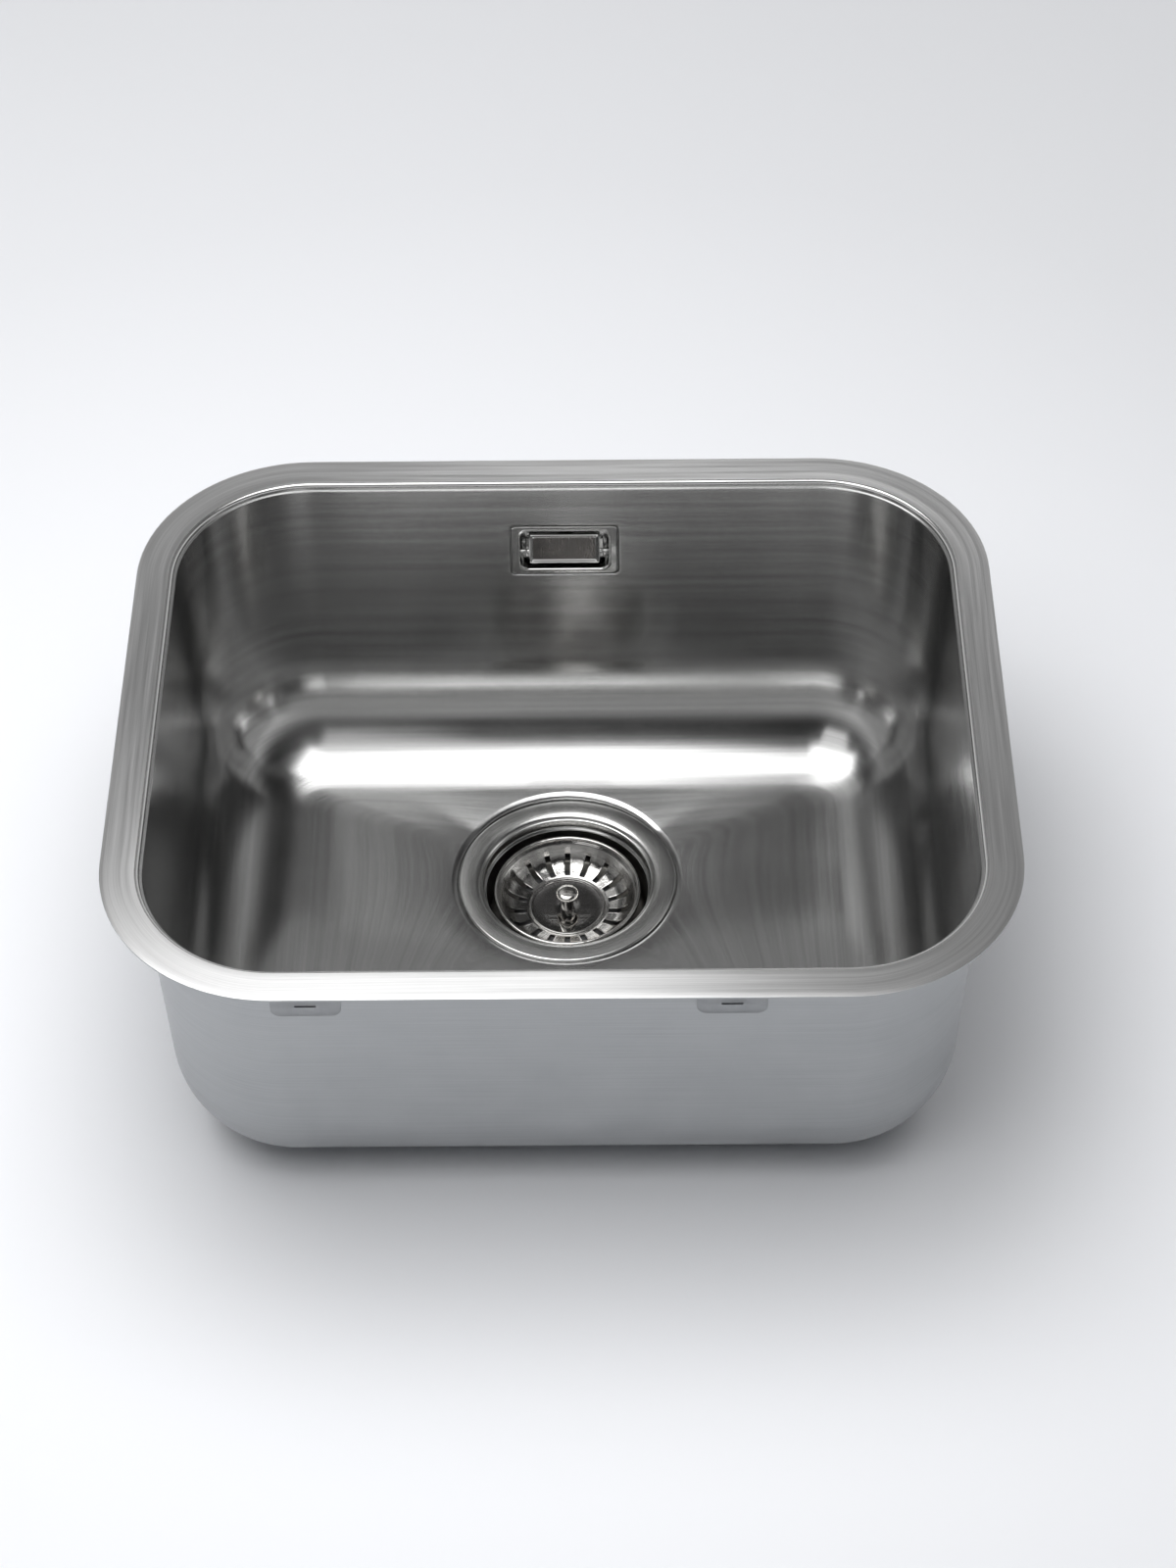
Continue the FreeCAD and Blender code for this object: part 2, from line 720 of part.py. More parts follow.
pot_outside = half_section("pot_outside", [
    ("0", BODY_TOP),
    ("body_collar_radius", BODY_TOP),
    ("body_collar_radius", f"{BODY_TOP} - body_collar_height"),
    ("body_radius + 1", f"{BODY_TOP} - body_collar_height - 2.5"),
    ("body_radius", f"{BODY_TOP} - body_collar_height - 6"),
    ("body_radius - 2", f"-({BODY_END}) + 4"),
    ("body_radius - 5.5", f"-({BODY_END})"),
    ("0", f"-({BODY_END})"),
])
pot_inside = half_section("pot_inside", [
    ("0", f"{BODY_TOP} + 1"),
    ("seal_inner + 0.5", f"{BODY_TOP} + 1"),
    ("seal_inner + 0.5", f"{BODY_TOP} - body_collar_height - 6"),
    ("body_radius - 2 - body_wall", f"-({BODY_END}) + body_wall + 3"),
    ("body_radius - 5 - body_wall", f"-({BODY_END}) + body_wall"),
    ("boss_radius", f"-({BODY_END}) + body_wall"),
    ("boss_radius - 0.8", "-insert_top"),
    ("0", "-insert_top"),
])
insert_hole = half_section("insert_hole", [
    ("0", "-insert_top + 1"),
    ("insert_radius", "-insert_top + 1"),
    ("insert_radius", "-insert_end"),
    ("0", "-insert_end"),
])
OUTWARD = "body_radius - body_wall - 3"
outlet_bore = level_tube("outlet_bore", "outlet_bore", "outlet_reach", "outlet_depth", 180)
inlet_bore = level_tube("inlet_bore", "pipe_radius", "inlet_reach", "inlet_depth", 90)
inlet_core = level_tube("inlet_core", "pipe_radius - pipe_wall", "inlet_reach", "inlet_depth", 90)
# the pipe's socket is wider than the way through the pot's wall, which stops the pipe
inlet_stop = doc.addObject("Part::Cylinder", "inlet_stop")
bind(inlet_stop, Radius="body_radius + 2", Height="press_depth")
inlet_stop.Placement = drain_place * Placement(Vector(0, 0, -size("press_depth") / 2), Rotation())
body_inside = fuse("body_inside", [
    pot_inside, insert_hole, outlet_bore, inlet_core, cut("inlet_socket", inlet_bore, inlet_stop),
])
body_outside = fuse("body_outside", [
    pot_outside,
    level_tube("outlet_neck", "outlet_neck_radius", "outlet_reach", "outlet_depth", 180),
    level_tube("outlet_thread", "outlet_radius", "outlet_reach", "outlet_depth", 180, "outlet_neck_end"),
    level_tube("inlet_tube", "socket_radius", "inlet_reach", "inlet_depth", 90),
])
# the boss must not be bored through by the outlet and the inlet
boss = half_section("boss", [
    ("insert_radius", "-insert_top"),
    ("boss_radius - 0.8", "-insert_top"),
    ("boss_radius", f"-({BODY_END}) + body_wall"),
    ("boss_radius", f"-({BODY_END}) + 0.1"),
    ("insert_radius", f"-({BODY_END}) + 0.1"),
])
node(fuse("waste_body", [cut("body_shell", body_outside, body_inside), boss]), "waste_body")

turned("thread_insert", [
    ("screw_radius", "-insert_end"),
    ("insert_radius", "-insert_end"),
    ("insert_radius", "-insert_top"),
    ("screw_radius", "-insert_top"),
], drain_place)

# The fixing screw clamps the cup to the waste body. Its hollow head guides the basket's pin.
SCREW_BORE = "guide_pin_radius + screw_bore_clearance"
turned("fixing_screw", [
    ("0", "-screw_end"),
    ("screw_radius", "-screw_end"),
    ("screw_radius", "-cup_depth"),
    ("screw_head_radius", "-cup_depth"),
    ("screw_head_radius", "-cup_depth + screw_head_height - 0.5"),
    ("screw_head_radius - 0.5", "-cup_depth + screw_head_height"),
    (SCREW_BORE, "-cup_depth + screw_head_height"),
    (SCREW_BORE, "-screw_bore_end"),
    ("0", "-screw_bore_end"),
], drain_place)

# ---------------------------------------------------------------- basket and what rides with it

basket = new_body("basket")
basket_section = new_sketch(basket, "basket_section", "XZ_Plane")
inside = [
    ("basket_bead_circle - 0.8", "-basket_bead_depth - 0.4"),
    ("basket_shoulder", "-basket_shoulder_depth"),
    ("basket_knee", "-basket_knee_depth"),
    ("basket_toe", "-basket_toe_depth"),
    ("basket_floor_edge", "-basket_floor_depth"),
    ("disc_ring_circle + disc_ring_half", "-disc_depth"),
    ("disc_ring_circle + 0.4 * disc_ring_half", "-disc_depth + disc_ring_rise"),
    ("disc_ring_circle - 0.4 * disc_ring_half", "-disc_depth + disc_ring_rise"),
    ("disc_ring_circle - disc_ring_half", "-disc_depth"),
    ("stud_radius", "-disc_depth"),
]
outside = [
    ("stud_radius", "-disc_depth - basket_sheet"),
    ("basket_floor_edge + 0.1", "-disc_depth - basket_sheet"),
    ("basket_toe + 0.3", "-basket_toe_depth - 0.9 * basket_sheet"),
    ("basket_knee + 0.7 * basket_sheet", "-basket_knee_depth - 0.6 * basket_sheet"),
    ("basket_shoulder + 0.9 * basket_sheet", "-basket_shoulder_depth - 0.5 * basket_sheet"),
    ("basket_bead_circle", "-basket_bead_depth - 0.6"),
]
polygon(basket_section, inside + outside)
revolve(basket, basket_section)
bead_section = new_sketch(basket, "bead_section", "XZ_Plane")
circle(bead_section, "basket_bead", x="basket_bead_circle", y="-basket_bead_depth")
revolve(basket, bead_section)
slot = new_sketch(basket, "basket_slot", "XY_Plane", "-basket_bead_depth - basket_bead - 0.3")
rounded_rectangle(slot, "slot_outer - slot_inner", "slot_width", "slot_width / 2 - 0.05",
                  x="(slot_inner + slot_outer) / 2")
polar(basket, pocket(basket, slot, "disc_depth"), "slot_count")
node(basket, "basket", drain_place)

KNOB_TOP = "disc_depth - knob_height"
STUD_END = "disc_depth + basket_sheet + stopper_thickness + seal_plate_thickness"
knob = new_body("basket_knob")
knob_section = new_sketch(knob, "knob_section", "XZ_Plane")
polygon(knob_section, [
    ("0", f"-({STUD_END})"),
    ("stud_radius", f"-({STUD_END})"),
    ("stud_radius", "-disc_depth"),
    ("knob_foot_radius", "-disc_depth"),
    ("knob_foot_radius", "-disc_depth + knob_foot_height"),
    ("knob_shaft_radius", "-disc_depth + knob_foot_height + 0.6"),
    ("knob_shaft_radius", f"-({KNOB_TOP}) - knob_head_height - 0.4"),
    ("knob_head_radius - 0.5", f"-({KNOB_TOP}) - knob_head_height"),
    ("knob_head_radius", f"-({KNOB_TOP}) - knob_head_height + 0.5"),
    ("knob_head_radius", f"-({KNOB_TOP}) - 1.1"),
    ("knob_head_radius - 0.8", f"-({KNOB_TOP}) - 0.5"),
    ("0.5 * knob_head_radius", f"-({KNOB_TOP}) - 0.1"),
    ("0", f"-({KNOB_TOP})"),
])
revolve(knob, knob_section)
node(knob, "basket_knob", drain_place)

DISC_UNDER = "-disc_depth - basket_sheet"
STOPPER_END = "-cup_depth + stopper_gap"
turned("stopper_seal", [
    ("stud_radius", f"{DISC_UNDER} - stopper_thickness"),
    ("stud_radius", DISC_UNDER),
    ("disc_ring_circle", DISC_UNDER),
    ("stopper_radius - 1.6", f"{DISC_UNDER} - 1.4"),
    ("stopper_radius", f"{STOPPER_END} + 1.2"),
    ("stopper_radius", STOPPER_END),
    ("stopper_radius - stopper_lip", STOPPER_END),
    ("stopper_radius - stopper_lip - 1.2", f"{STOPPER_END} + 1.6"),
    ("disc_ring_circle", f"{DISC_UNDER} - stopper_thickness"),
], drain_place)
turned("seal_plate", [
    ("stud_radius", f"-({STUD_END})"),
    ("seal_plate_radius", f"-({STUD_END})"),
    ("seal_plate_radius", f"{DISC_UNDER} - stopper_thickness"),
    ("stud_radius", f"{DISC_UNDER} - stopper_thickness"),
], drain_place)

GROOVE = "guide_pin_radius - guide_ring_radius"
turned("guide_pin", [
    ("0", "-guide_pin_depth"),
    ("guide_pin_radius - 0.8", "-guide_pin_depth"),
    ("guide_pin_radius", "-guide_pin_depth + 0.8"),
    ("guide_pin_radius", "-guide_ring_depth - guide_ring_radius"),
    (GROOVE, "-guide_ring_depth - guide_ring_radius"),
    (GROOVE, "-guide_ring_depth + guide_ring_radius"),
    ("guide_pin_radius", "-guide_ring_depth + guide_ring_radius"),
    ("guide_pin_radius", f"-({STUD_END}) - guide_nut_height"),
    ("guide_nut_radius - 0.5", f"-({STUD_END}) - guide_nut_height"),
    ("guide_nut_radius", f"-({STUD_END}) - guide_nut_height + 0.5"),
    ("guide_nut_radius", f"-({STUD_END})"),
    ("0", f"-({STUD_END})"),
], drain_place)
turned("guide_ring", [
    (GROOVE, "-guide_ring_depth - guide_ring_radius + 0.1"),
    (GROOVE, "-guide_ring_depth + guide_ring_radius - 0.1"),
    ("guide_pin_radius - 0.1", "-guide_ring_depth + guide_ring_radius - 0.1"),
    ("guide_pin_radius + 0.05", "-guide_ring_depth"),
    ("guide_pin_radius - 0.1", "-guide_ring_depth - guide_ring_radius + 0.1"),
], drain_place)

# ---------------------------------------------------------------- overflow at the rear wall

def x_rod(name, radius, x_from, x_to):
    """A rod along X through the plate's pivot."""
    rod = doc.addObject("Part::Cylinder", name)
    bind(rod, Radius=radius, Height=f"({x_to}) - ({x_from})")
    rod.Placement = overflow_place * Placement(
        Vector(size(x_from), size("pivot_in"), -size("pivot_drop")), Rotation(Vector(0, 1, 0), 90))
    return rod


def y_rod(name, radius, y_from, y_to, z="0"):
    """A rod along the wall's normal."""
    rod = doc.addObject("Part::Cylinder", name)
    bind(rod, Radius=radius, Height=f"({y_to}) - ({y_from})")
    rod.Placement = overflow_place * Placement(
        Vector(0, size(y_from), size(z)), Rotation(Vector(1, 0, 0), -90))
    return rod


def block(name, x, y, z):
    """A box between pairs of formulas, in the overflow's frame."""
    box = doc.addObject("Part::Box", name)
    bind(box, Length=f"({x[1]}) - ({x[0]})", Width=f"({y[1]}) - ({y[0]})", Height=f"({z[1]}) - ({z[0]})")
    box.Placement = overflow_place * Placement(Vector(size(x[0]), size(y[0]), size(z[0])), Rotation())
    return box


lug_low, lug_high = "-pivot_drop - lug_half", "-pivot_drop + lug_half"
frame_outside = fuse("frame_outside", [
    rounded_block("frame_face", "frame_width", "frame_height", "frame_corner",
                  "0", "frame_plate", overflow_place),
    rounded_block("frame_dish", "well_width + 2 * well_wall", "well_height + 2 * well_wall",
                  "well_corner + well_wall", "frame_plate / 2", "well_depth + well_wall", overflow_place),
])
frame_well = rounded_block("frame_well", "well_width", "well_height", "well_corner", "-1", "well_depth",
                           overflow_place)
lugs = fuse("lugs", [
    block("lug_left", ("-well_width / 2 - 0.3", "-well_width / 2 + lug_length"),
          ("pivot_in - lug_half", "well_depth + 0.3"), (lug_low, lug_high)),
    block("lug_right", ("well_width / 2 - lug_length", "well_width / 2 + 0.3"),
          ("pivot_in - lug_half", "well_depth + 0.3"), (lug_low, lug_high)),
])
slot_span = ("-well_slot_width / 2", "well_slot_width / 2")
through_well = ("well_depth - 1", "well_depth + 2")
frame_holes = fuse("frame_holes", [
    block("slot_above", slot_span, through_well,
          ("well_slot_height_at - well_slot_height / 2", "well_slot_height_at + well_slot_height / 2")),
    block("slot_below", slot_span, through_well,
          ("-well_slot_height_at - well_slot_height / 2", "-well_slot_height_at + well_slot_height / 2")),
    y_rod("frame_screw_hole", "overflow_screw_radius + 0.2", "well_depth - 1", "well_depth + 2"),
    x_rod("lug_holes", "pivot_radius + pivot_clearance", "-well_width / 2 + 0.5", "well_width / 2 - 0.5"),
])
frame_shell = fuse("frame_shell", [cut("frame_dished", frame_outside, frame_well), lugs])
node(cut("overflow_frame", frame_shell, frame_holes), "overflow_frame")

plate = new_body("overflow_plate_blank")
plate_face = new_sketch(plate, "plate_face", "XZ_Plane", "-(plate_front + plate_thickness)")
rounded_rectangle(plate_face, "plate_width", "plate_height", "plate_bevel + 0.3")
plate_pad = pad(plate, plate_face, "plate_thickness")
front = size("plate_front")
fillet(plate, plate_pad, "plate_bevel",
       lambda edge: all(abs(v.Point.y - front) < 1e-3 for v in edge.Vertexes), kind="Chamfer")
plate.Placement = overflow_place
node(fuse("overflow_plate", [
    plate,
    x_rod("pivot_pins", "pivot_radius", "-well_width / 2 + 1.2", "well_width / 2 - 1.2"),
    x_rod("pivot_collars", "pivot_collar_radius",
          "-well_width / 2 + lug_length + 0.4", "well_width / 2 - lug_length - 0.4"),
]), "overflow_plate")

node(cut("overflow_screw_blank", fuse("overflow_screw_body", [
    y_rod("screw_pan", "overflow_screw_head", "well_depth - overflow_screw_head_height", "well_depth"),
    y_rod("screw_shank", "overflow_screw_radius", "well_depth - 0.5", "overflow_screw_end"),
]), fuse("cross_slot", [
    block("cross_level", ("-2.6", "2.6"),
          ("well_depth - overflow_screw_head_height - 1", "well_depth - overflow_screw_head_height + 1"),
          ("-0.5", "0.5")),
    block("cross_upright", ("-0.5", "0.5"),
          ("well_depth - overflow_screw_head_height - 1", "well_depth - overflow_screw_head_height + 1"),
          ("-2.6", "2.6")),
])), "overflow_screw")

GASKET_FROM = "overflow_recess_depth + sheet"
GASKET_TO = f"{GASKET_FROM} + overflow_gasket_thickness"
node(cut("overflow_gasket_ring",
         rounded_block("gasket_block", "overflow_gasket_width", "overflow_gasket_height", "well_corner + 2",
                       GASKET_FROM, GASKET_TO, overflow_place),
         rounded_block("gasket_opening", "overflow_hole_width", "overflow_hole_height",
                       "well_corner + well_wall", "0", f"{GASKET_TO} + 1", overflow_place)),
     "overflow_gasket")

FLANGE_TO = f"{GASKET_TO} + housing_flange_thickness"


def down_rod(name, radius, z_from, z_to):
    """A rod down along the wall, on the pipe's upper axis."""
    rod = doc.addObject("Part::Cylinder", name)
    bind(rod, Radius=radius, Height=f"({z_from}) - ({z_to})")
    rod.Placement = overflow_place * Placement(Vector(0, size("pipe_in"), size(z_to)), Rotation())
    return rod


housing_outside = fuse("housing_outside", [
    rounded_block("housing_flange", "housing_flange_width", "housing_flange_height", "4",
                  GASKET_TO, FLANGE_TO, overflow_place),
    rounded_block("housing_box", "housing_width", "housing_height", "6",
                  f"{FLANGE_TO} - 1", "housing_back", overflow_place),
    down_rod("housing_spigot", "socket_radius", "-housing_height / 2 + 1", "-socket_bottom"),
])
housing_inside = fuse("housing_inside", [
    rounded_block("housing_room", "housing_width - 2 * housing_wall",
                  "housing_height - 2 * housing_wall", "4",
                  GASKET_TO, "housing_back - housing_wall", overflow_place),
    down_rod("housing_way", "pipe_radius - pipe_wall", "0", "-socket_bottom"),
    down_rod("housing_socket", "pipe_radius", "-socket_bottom + pipe_insert", "-socket_bottom"),
])
housing_boss = cut(
    "housing_boss",
    y_rod("housing_post", "housing_boss_radius", "overflow_nut_from", "housing_back - 1"),
    y_rod("housing_nut_seat", "overflow_nut_radius", "overflow_nut_from", "overflow_screw_end + 0.5"),
)
node(fuse("overflow_housing_whole", [cut("housing_shell", housing_outside, housing_inside), housing_boss]),
     "overflow_housing")
node(cut("overflow_nut_ring",
         y_rod("nut_blank", "overflow_nut_radius", "overflow_nut_from", "overflow_nut_to"),
         y_rod("nut_bore", "overflow_screw_radius", "overflow_nut_from", "overflow_nut_to")),
     "overflow_nut")

# ---------------------------------------------------------------- overflow pipe

# The pipe runs down along the wall, turns forward and ends in the waste body's inlet.
pipe_top = overflow_place.multVec(Vector(0, size("pipe_in"), size("-socket_bottom + pipe_insert")))
pipe_down = overflow_place.Rotation.multVec(Vector(0, 0, -1))
pipe_level = -size(FLANGE) - size("inlet_depth")
drop = (pipe_level - pipe_top.z) / pipe_down.z
pipe_corner = pipe_top + pipe_down * drop
pipe_forward = Vector(0, -1, 0)
pipe_end = Vector(0, size("drain_y") + size("inlet_reach") - size("pipe_insert"), pipe_level)
half_turn = pipe_down.getAngle(pipe_forward) / 2
tangent = size("pipe_bend") * math.tan(half_turn)
bend_start = pipe_corner - pipe_down * tangent
bend_end = pipe_corner + pipe_forward * tangent
to_centre = (pipe_forward - pipe_down).normalize()
bend_middle = pipe_corner + to_centre * (size("pipe_bend") / math.cos(half_turn) - size("pipe_bend"))
pipe_path = Part.Wire([
    Part.LineSegment(pipe_top, bend_start).toShape(),
    Part.Arc(bend_start, bend_middle, bend_end).toShape(),
    Part.LineSegment(bend_end, pipe_end).toShape(),
])


def pipe_solid(radius):
    ring = Part.Wire([Part.Circle(pipe_top, pipe_down, radius).toShape()])
    return pipe_path.makePipeShell([ring], True, False)


pipe = doc.addObject("Part::Feature", "overflow_pipe")
pipe.Shape = pipe_solid(size("pipe_radius")).cut(pipe_solid(size("pipe_radius - pipe_wall")))
node(pipe, "overflow_pipe")
wall_area = math.pi * (size("pipe_radius") ** 2 - size("pipe_radius - pipe_wall") ** 2)
print("overflow pipe", round(pipe.Shape.Volume), "cubic mm of", round(wall_area * pipe_path.Length))

top_place = overflow_place * Placement(
    Vector(0, size("pipe_in"), -size("socket_bottom")), Rotation(Vector(1, 0, 0), 180))
low_place = Placement(
    Vector(0, size("drain_y") + size("inlet_reach"), pipe_level), Rotation(Vector(1, 0, 0), -90))

# The nut and its seal are drawn from the socket's mouth, Z pointing off the socket.
for where, place in (("top", top_place), ("low", low_place)):
    nut = new_body(f"pipe_nut_{where}")
    nut_section = new_sketch(nut, f"nut_section_{where}", "XZ_Plane")
    polygon(nut_section, [
        ("socket_radius", "-pipe_nut_grip"),
        ("pipe_nut_radius", "-pipe_nut_grip"),
        ("pipe_nut_radius", "pipe_seal_height + pipe_nut_lip - 1"),
        ("pipe_nut_radius - 1", "pipe_seal_height + pipe_nut_lip"),
        ("pipe_radius + 0.2", "pipe_seal_height + pipe_nut_lip"),
        ("pipe_radius + 0.2", "pipe_seal_height"),
        ("pipe_seal_radius", "pipe_seal_height"),
        ("pipe_seal_radius", "0"),
        ("socket_radius", "0"),
    ])
    revolve(nut, nut_section)
    groove = new_sketch(nut, f"nut_groove_{where}", "XY_Plane", "pipe_seal_height + pipe_nut_lip")
    circle(groove, "0.9", x="pipe_nut_radius + 0.1")
    polar(nut, pocket(nut, groove, "2 * pipe_nut_grip"), "pipe_nut_ribs")
    node(nut, f"pipe_nut_{where}", place)
    turned(f"pipe_seal_{where}", [
        ("pipe_radius", "0"),
        ("pipe_seal_radius", "0"),
        ("pipe_seal_radius", "pipe_seal_height"),
        ("pipe_radius", "pipe_seal_height"),
    ], place)

# ---------------------------------------------------------------- checks and files

doc.recompute()
for thing in doc.Objects:
    bad = {"Invalid", "Error"} & set(thing.State)
    if bad:
        raise RuntimeError(f"{thing.Name}: {thing.State}")
for thing in nodes:
    shape = thing.Shape
    if shape.isNull() or not shape.isValid() or not shape.Solids:
        raise RuntimeError(f"{thing.Label}: no valid solid")
    print(f"{thing.Label:26s} {len(shape.Solids)} solid(s) {shape.Volume:12.1f} cubic mm")

os.makedirs("parts", exist_ok=True)
for thing in nodes:
    thing.Shape.exportStep(f"parts/{thing.Label}.step")
print(len(nodes), "pieces written")
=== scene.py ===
# %% [markdown]
# An undermount kitchen sink: a bowl pressed from one steel sheet, a basket strainer in its floor,
# an overflow high in its rear wall, and the plastic plumbing that joins the two underneath.
# The measured model comes first and stays still. Everything made here stands where it says.

# %% Load the measured model
import json
import math

import bmesh
import bpy
from mathutils import Matrix, Vector


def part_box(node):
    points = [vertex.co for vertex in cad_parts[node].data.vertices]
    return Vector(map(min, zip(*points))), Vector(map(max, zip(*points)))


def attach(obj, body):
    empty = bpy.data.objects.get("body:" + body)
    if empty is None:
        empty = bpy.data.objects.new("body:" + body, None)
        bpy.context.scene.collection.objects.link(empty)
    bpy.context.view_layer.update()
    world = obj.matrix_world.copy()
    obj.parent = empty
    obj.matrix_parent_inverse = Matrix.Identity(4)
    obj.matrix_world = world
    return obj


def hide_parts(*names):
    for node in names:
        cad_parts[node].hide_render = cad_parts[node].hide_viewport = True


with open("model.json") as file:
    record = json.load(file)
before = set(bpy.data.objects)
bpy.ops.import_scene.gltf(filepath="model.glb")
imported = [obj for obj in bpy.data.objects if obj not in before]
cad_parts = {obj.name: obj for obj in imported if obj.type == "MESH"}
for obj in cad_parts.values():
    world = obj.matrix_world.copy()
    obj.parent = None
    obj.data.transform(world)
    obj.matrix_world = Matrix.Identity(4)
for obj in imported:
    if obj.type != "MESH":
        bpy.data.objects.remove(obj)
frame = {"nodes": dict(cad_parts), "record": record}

scene = bpy.context.scene
nodes = frame["nodes"]
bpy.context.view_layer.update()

# %% [markdown]
# The picture is taken from in front and well above, with a fairly long lens, so that the bowl
# hardly tapers with distance. Place and turn were fitted to the rim's outline. The turns read from
# right to left: a slight roll about the line of sight, the tilt down, and a small swing.

# %% Set the camera
lens = bpy.data.cameras.new("camera")
lens.lens = 79.731
camera = bpy.data.objects.new("camera", lens)
swing = Matrix.Rotation(math.radians(0.417), 4, "Z")
tilt = Matrix.Rotation(math.radians(43.65), 4, "X")
roll = Matrix.Rotation(math.radians(-0.73), 4, "Z")
camera.location = (0.0211, -1.2086, 1.2134)
camera.rotation_euler = (swing @ tilt @ roll).to_euler()
scene.collection.objects.link(camera)
scene.camera = camera
scene.view_settings.view_transform = "Standard"
print("camera at", [round(c, 3) for c in camera.location])

# %% [markdown]
# Finishes are made of shader nodes. Long chains of Math nodes are hard to read, so one small class
# wraps a node's output and turns arithmetic on it into Math nodes. Both orders of each operator
# are there, because Python asks the right-hand side when a plain number comes first. Every other
# node comes from one method: the kind of node, its settings, then the values or links it takes.

# %% Arithmetic that adds shader nodes
class Signal:
    """An output of a shader node, or only the node tree where a chain starts."""

    def __init__(self, tree, socket=None):
        self.tree = tree
        self.socket = socket

    def node(self, kind, settings=(), inputs=(), out=0):
        made = self.tree.nodes.new("ShaderNode" + kind)
        for name, value in dict(settings).items():
            setattr(made, name, value)
        for key, value in dict(inputs).items():
            if isinstance(value, Signal):
                self.tree.links.new(value.socket, made.inputs[key])
            else:
                made.inputs[key].default_value = value
        return Signal(self.tree, made.outputs[out])

    def math(self, operation, *values):
        return self.node("Math", {"operation": operation}, dict(enumerate(values)))

    def __add__(self, other):
        return self.math("ADD", self, other)

    def __radd__(self, other):
        return self.math("ADD", other, self)

    def __sub__(self, other):
        return self.math("SUBTRACT", self, other)

    def __rsub__(self, other):
        return self.math("SUBTRACT", other, self)

    def __mul__(self, other):
        return self.math("MULTIPLY", self, other)

    def __rmul__(self, other):
        return self.math("MULTIPLY", other, self)


# %% [markdown]
# Brushing, casting and wear all come from noise that is stretched, rolled round an axis or left
# even. Lengths along a surface are in metres, as everywhere in Blender, so a grain of 1500 per
# metre has lines about two thirds of a millimetre apart. The two slow directions are scaled low
# and the one across the brush lines is scaled high, which draws each spot of noise into a line.

# %% Patterns that finishes share
def noise(start, vector, scale, detail, rough=0.55):
    return start.node("TexNoise", {}, {
        "Vector": vector, "Scale": scale, "Detail": detail, "Roughness": rough})


def lines(start, x, y, across, along, fine):
    """Brush lines: slow in x and y, fast in the value that grows across them."""
    vector = start.node("CombineXYZ", {}, {"X": x * along, "Y": y * along, "Z": across * fine})
    return noise(start, vector, 1.0, 2.0, 0.6)


def levels(start, signal, low, high, dark, light):
    """Stretch a signal between two of its levels to two output levels."""
    return start.node("MapRange", {"clamp": True}, {
        "Value": signal, "From Min": low, "From Max": high, "To Min": dark, "To Max": light})


def tinted(start, signal, dark, light):
    """A colour between two, by a signal from 0 to 1. Either colour may itself be a signal."""
    dark, light = (c if isinstance(c, Signal) else (*c, 1.0) for c in (dark, light))
    return start.node("Mix", {"data_type": "RGBA"}, {0: signal, 6: dark, 7: light}, out=2)


def two_tone(start, signal, dark, light, low=0.35, high=0.65):
    """A colour between two, by the middle levels of a noise, where nearly all of it lies."""
    return tinted(start, levels(start, signal, low, high, 0.0, 1.0), dark, light)


def relief(start, height, depth):
    """Turn a signal into dents of the given depth in metres."""
    return start.node("Bump", {}, {"Strength": 1.0, "Distance": depth, "Height": height})


def finish(name, metallic, paint, **sockets):
    """A material: paint takes the start of a node chain and returns what varies."""
    material = bpy.data.materials.new(name)
    material.use_nodes = True
    shader = material.node_tree.nodes["Principled BSDF"]
    shader.inputs["Metallic"].default_value = metallic
    for socket, value in sockets.items():
        shader.inputs[socket.replace("_", " ").title().replace("Ior", "IOR")].default_value = value
    varied = paint(Signal(material.node_tree))
    for socket, signal in varied.items():
        material.node_tree.links.new(signal.socket, shader.inputs[socket])
    return material


def axes(start):
    """The x, y and z of a point of the piece, in metres in the sink's own frame."""
    place = start.node("TexCoord", out="Object")
    return place, [start.node("SeparateXYZ", {}, {0: place}, out=i) for i in range(3)]


# %% [markdown]
# The sink hangs from a worktop in use. For the picture its bowl stands on a pale floor, which is one
# large face cut by a few straight lines. Two of the cells between the lines are left open: a wide one
# under the bowl for the waste, and a narrow one behind it for the overflow's pipe.

# %% Lay the floor
FLOOR_GAP = 0.0001
OPENINGS = ((-0.09, 0.06, -0.01, 0.11), (-0.02, 0.02, 0.11, 0.2))


def whole(form):
    return form.verts[:] + form.edges[:] + form.faces[:]


def cut(form, point, direction):
    """Divide the faces along a plane."""
    bmesh.ops.bisect_plane(form, geom=whole(form), plane_co=point, plane_no=direction, dist=0.0001)


def is_open(face):
    x, y, _ = face.calc_center_median()
    return any(left < x < right and near < y < far for left, right, near, far in OPENINGS)


floor_form = bmesh.new()
bmesh.ops.create_grid(floor_form, x_segments=1, y_segments=1, size=20.0)
bmesh.ops.translate(floor_form, verts=floor_form.verts, vec=(0, 0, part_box("bowl")[0].z - FLOOR_GAP))
for left, right, near, far in OPENINGS:
    for x in (left, right):
        cut(floor_form, (x, 0, 0), (1, 0, 0))
    for y in (near, far):
        cut(floor_form, (0, y, 0), (0, 1, 0))
bmesh.ops.delete(floor_form, geom=[f for f in floor_form.faces if is_open(f)], context="FACES_ONLY")
floor_mesh = bpy.data.meshes.new("floor")
floor_form.to_mesh(floor_mesh)
floor_form.free()
floor = bpy.data.objects.new("floor", floor_mesh)
scene.collection.objects.link(floor)
print("floor in", len(floor_mesh.polygons), "faces")

# %% [markdown]
# The floor is painted board, and hardly varies. Far out, where the lamps fade, it glows a little, so
# that it stays pale to the horizon.

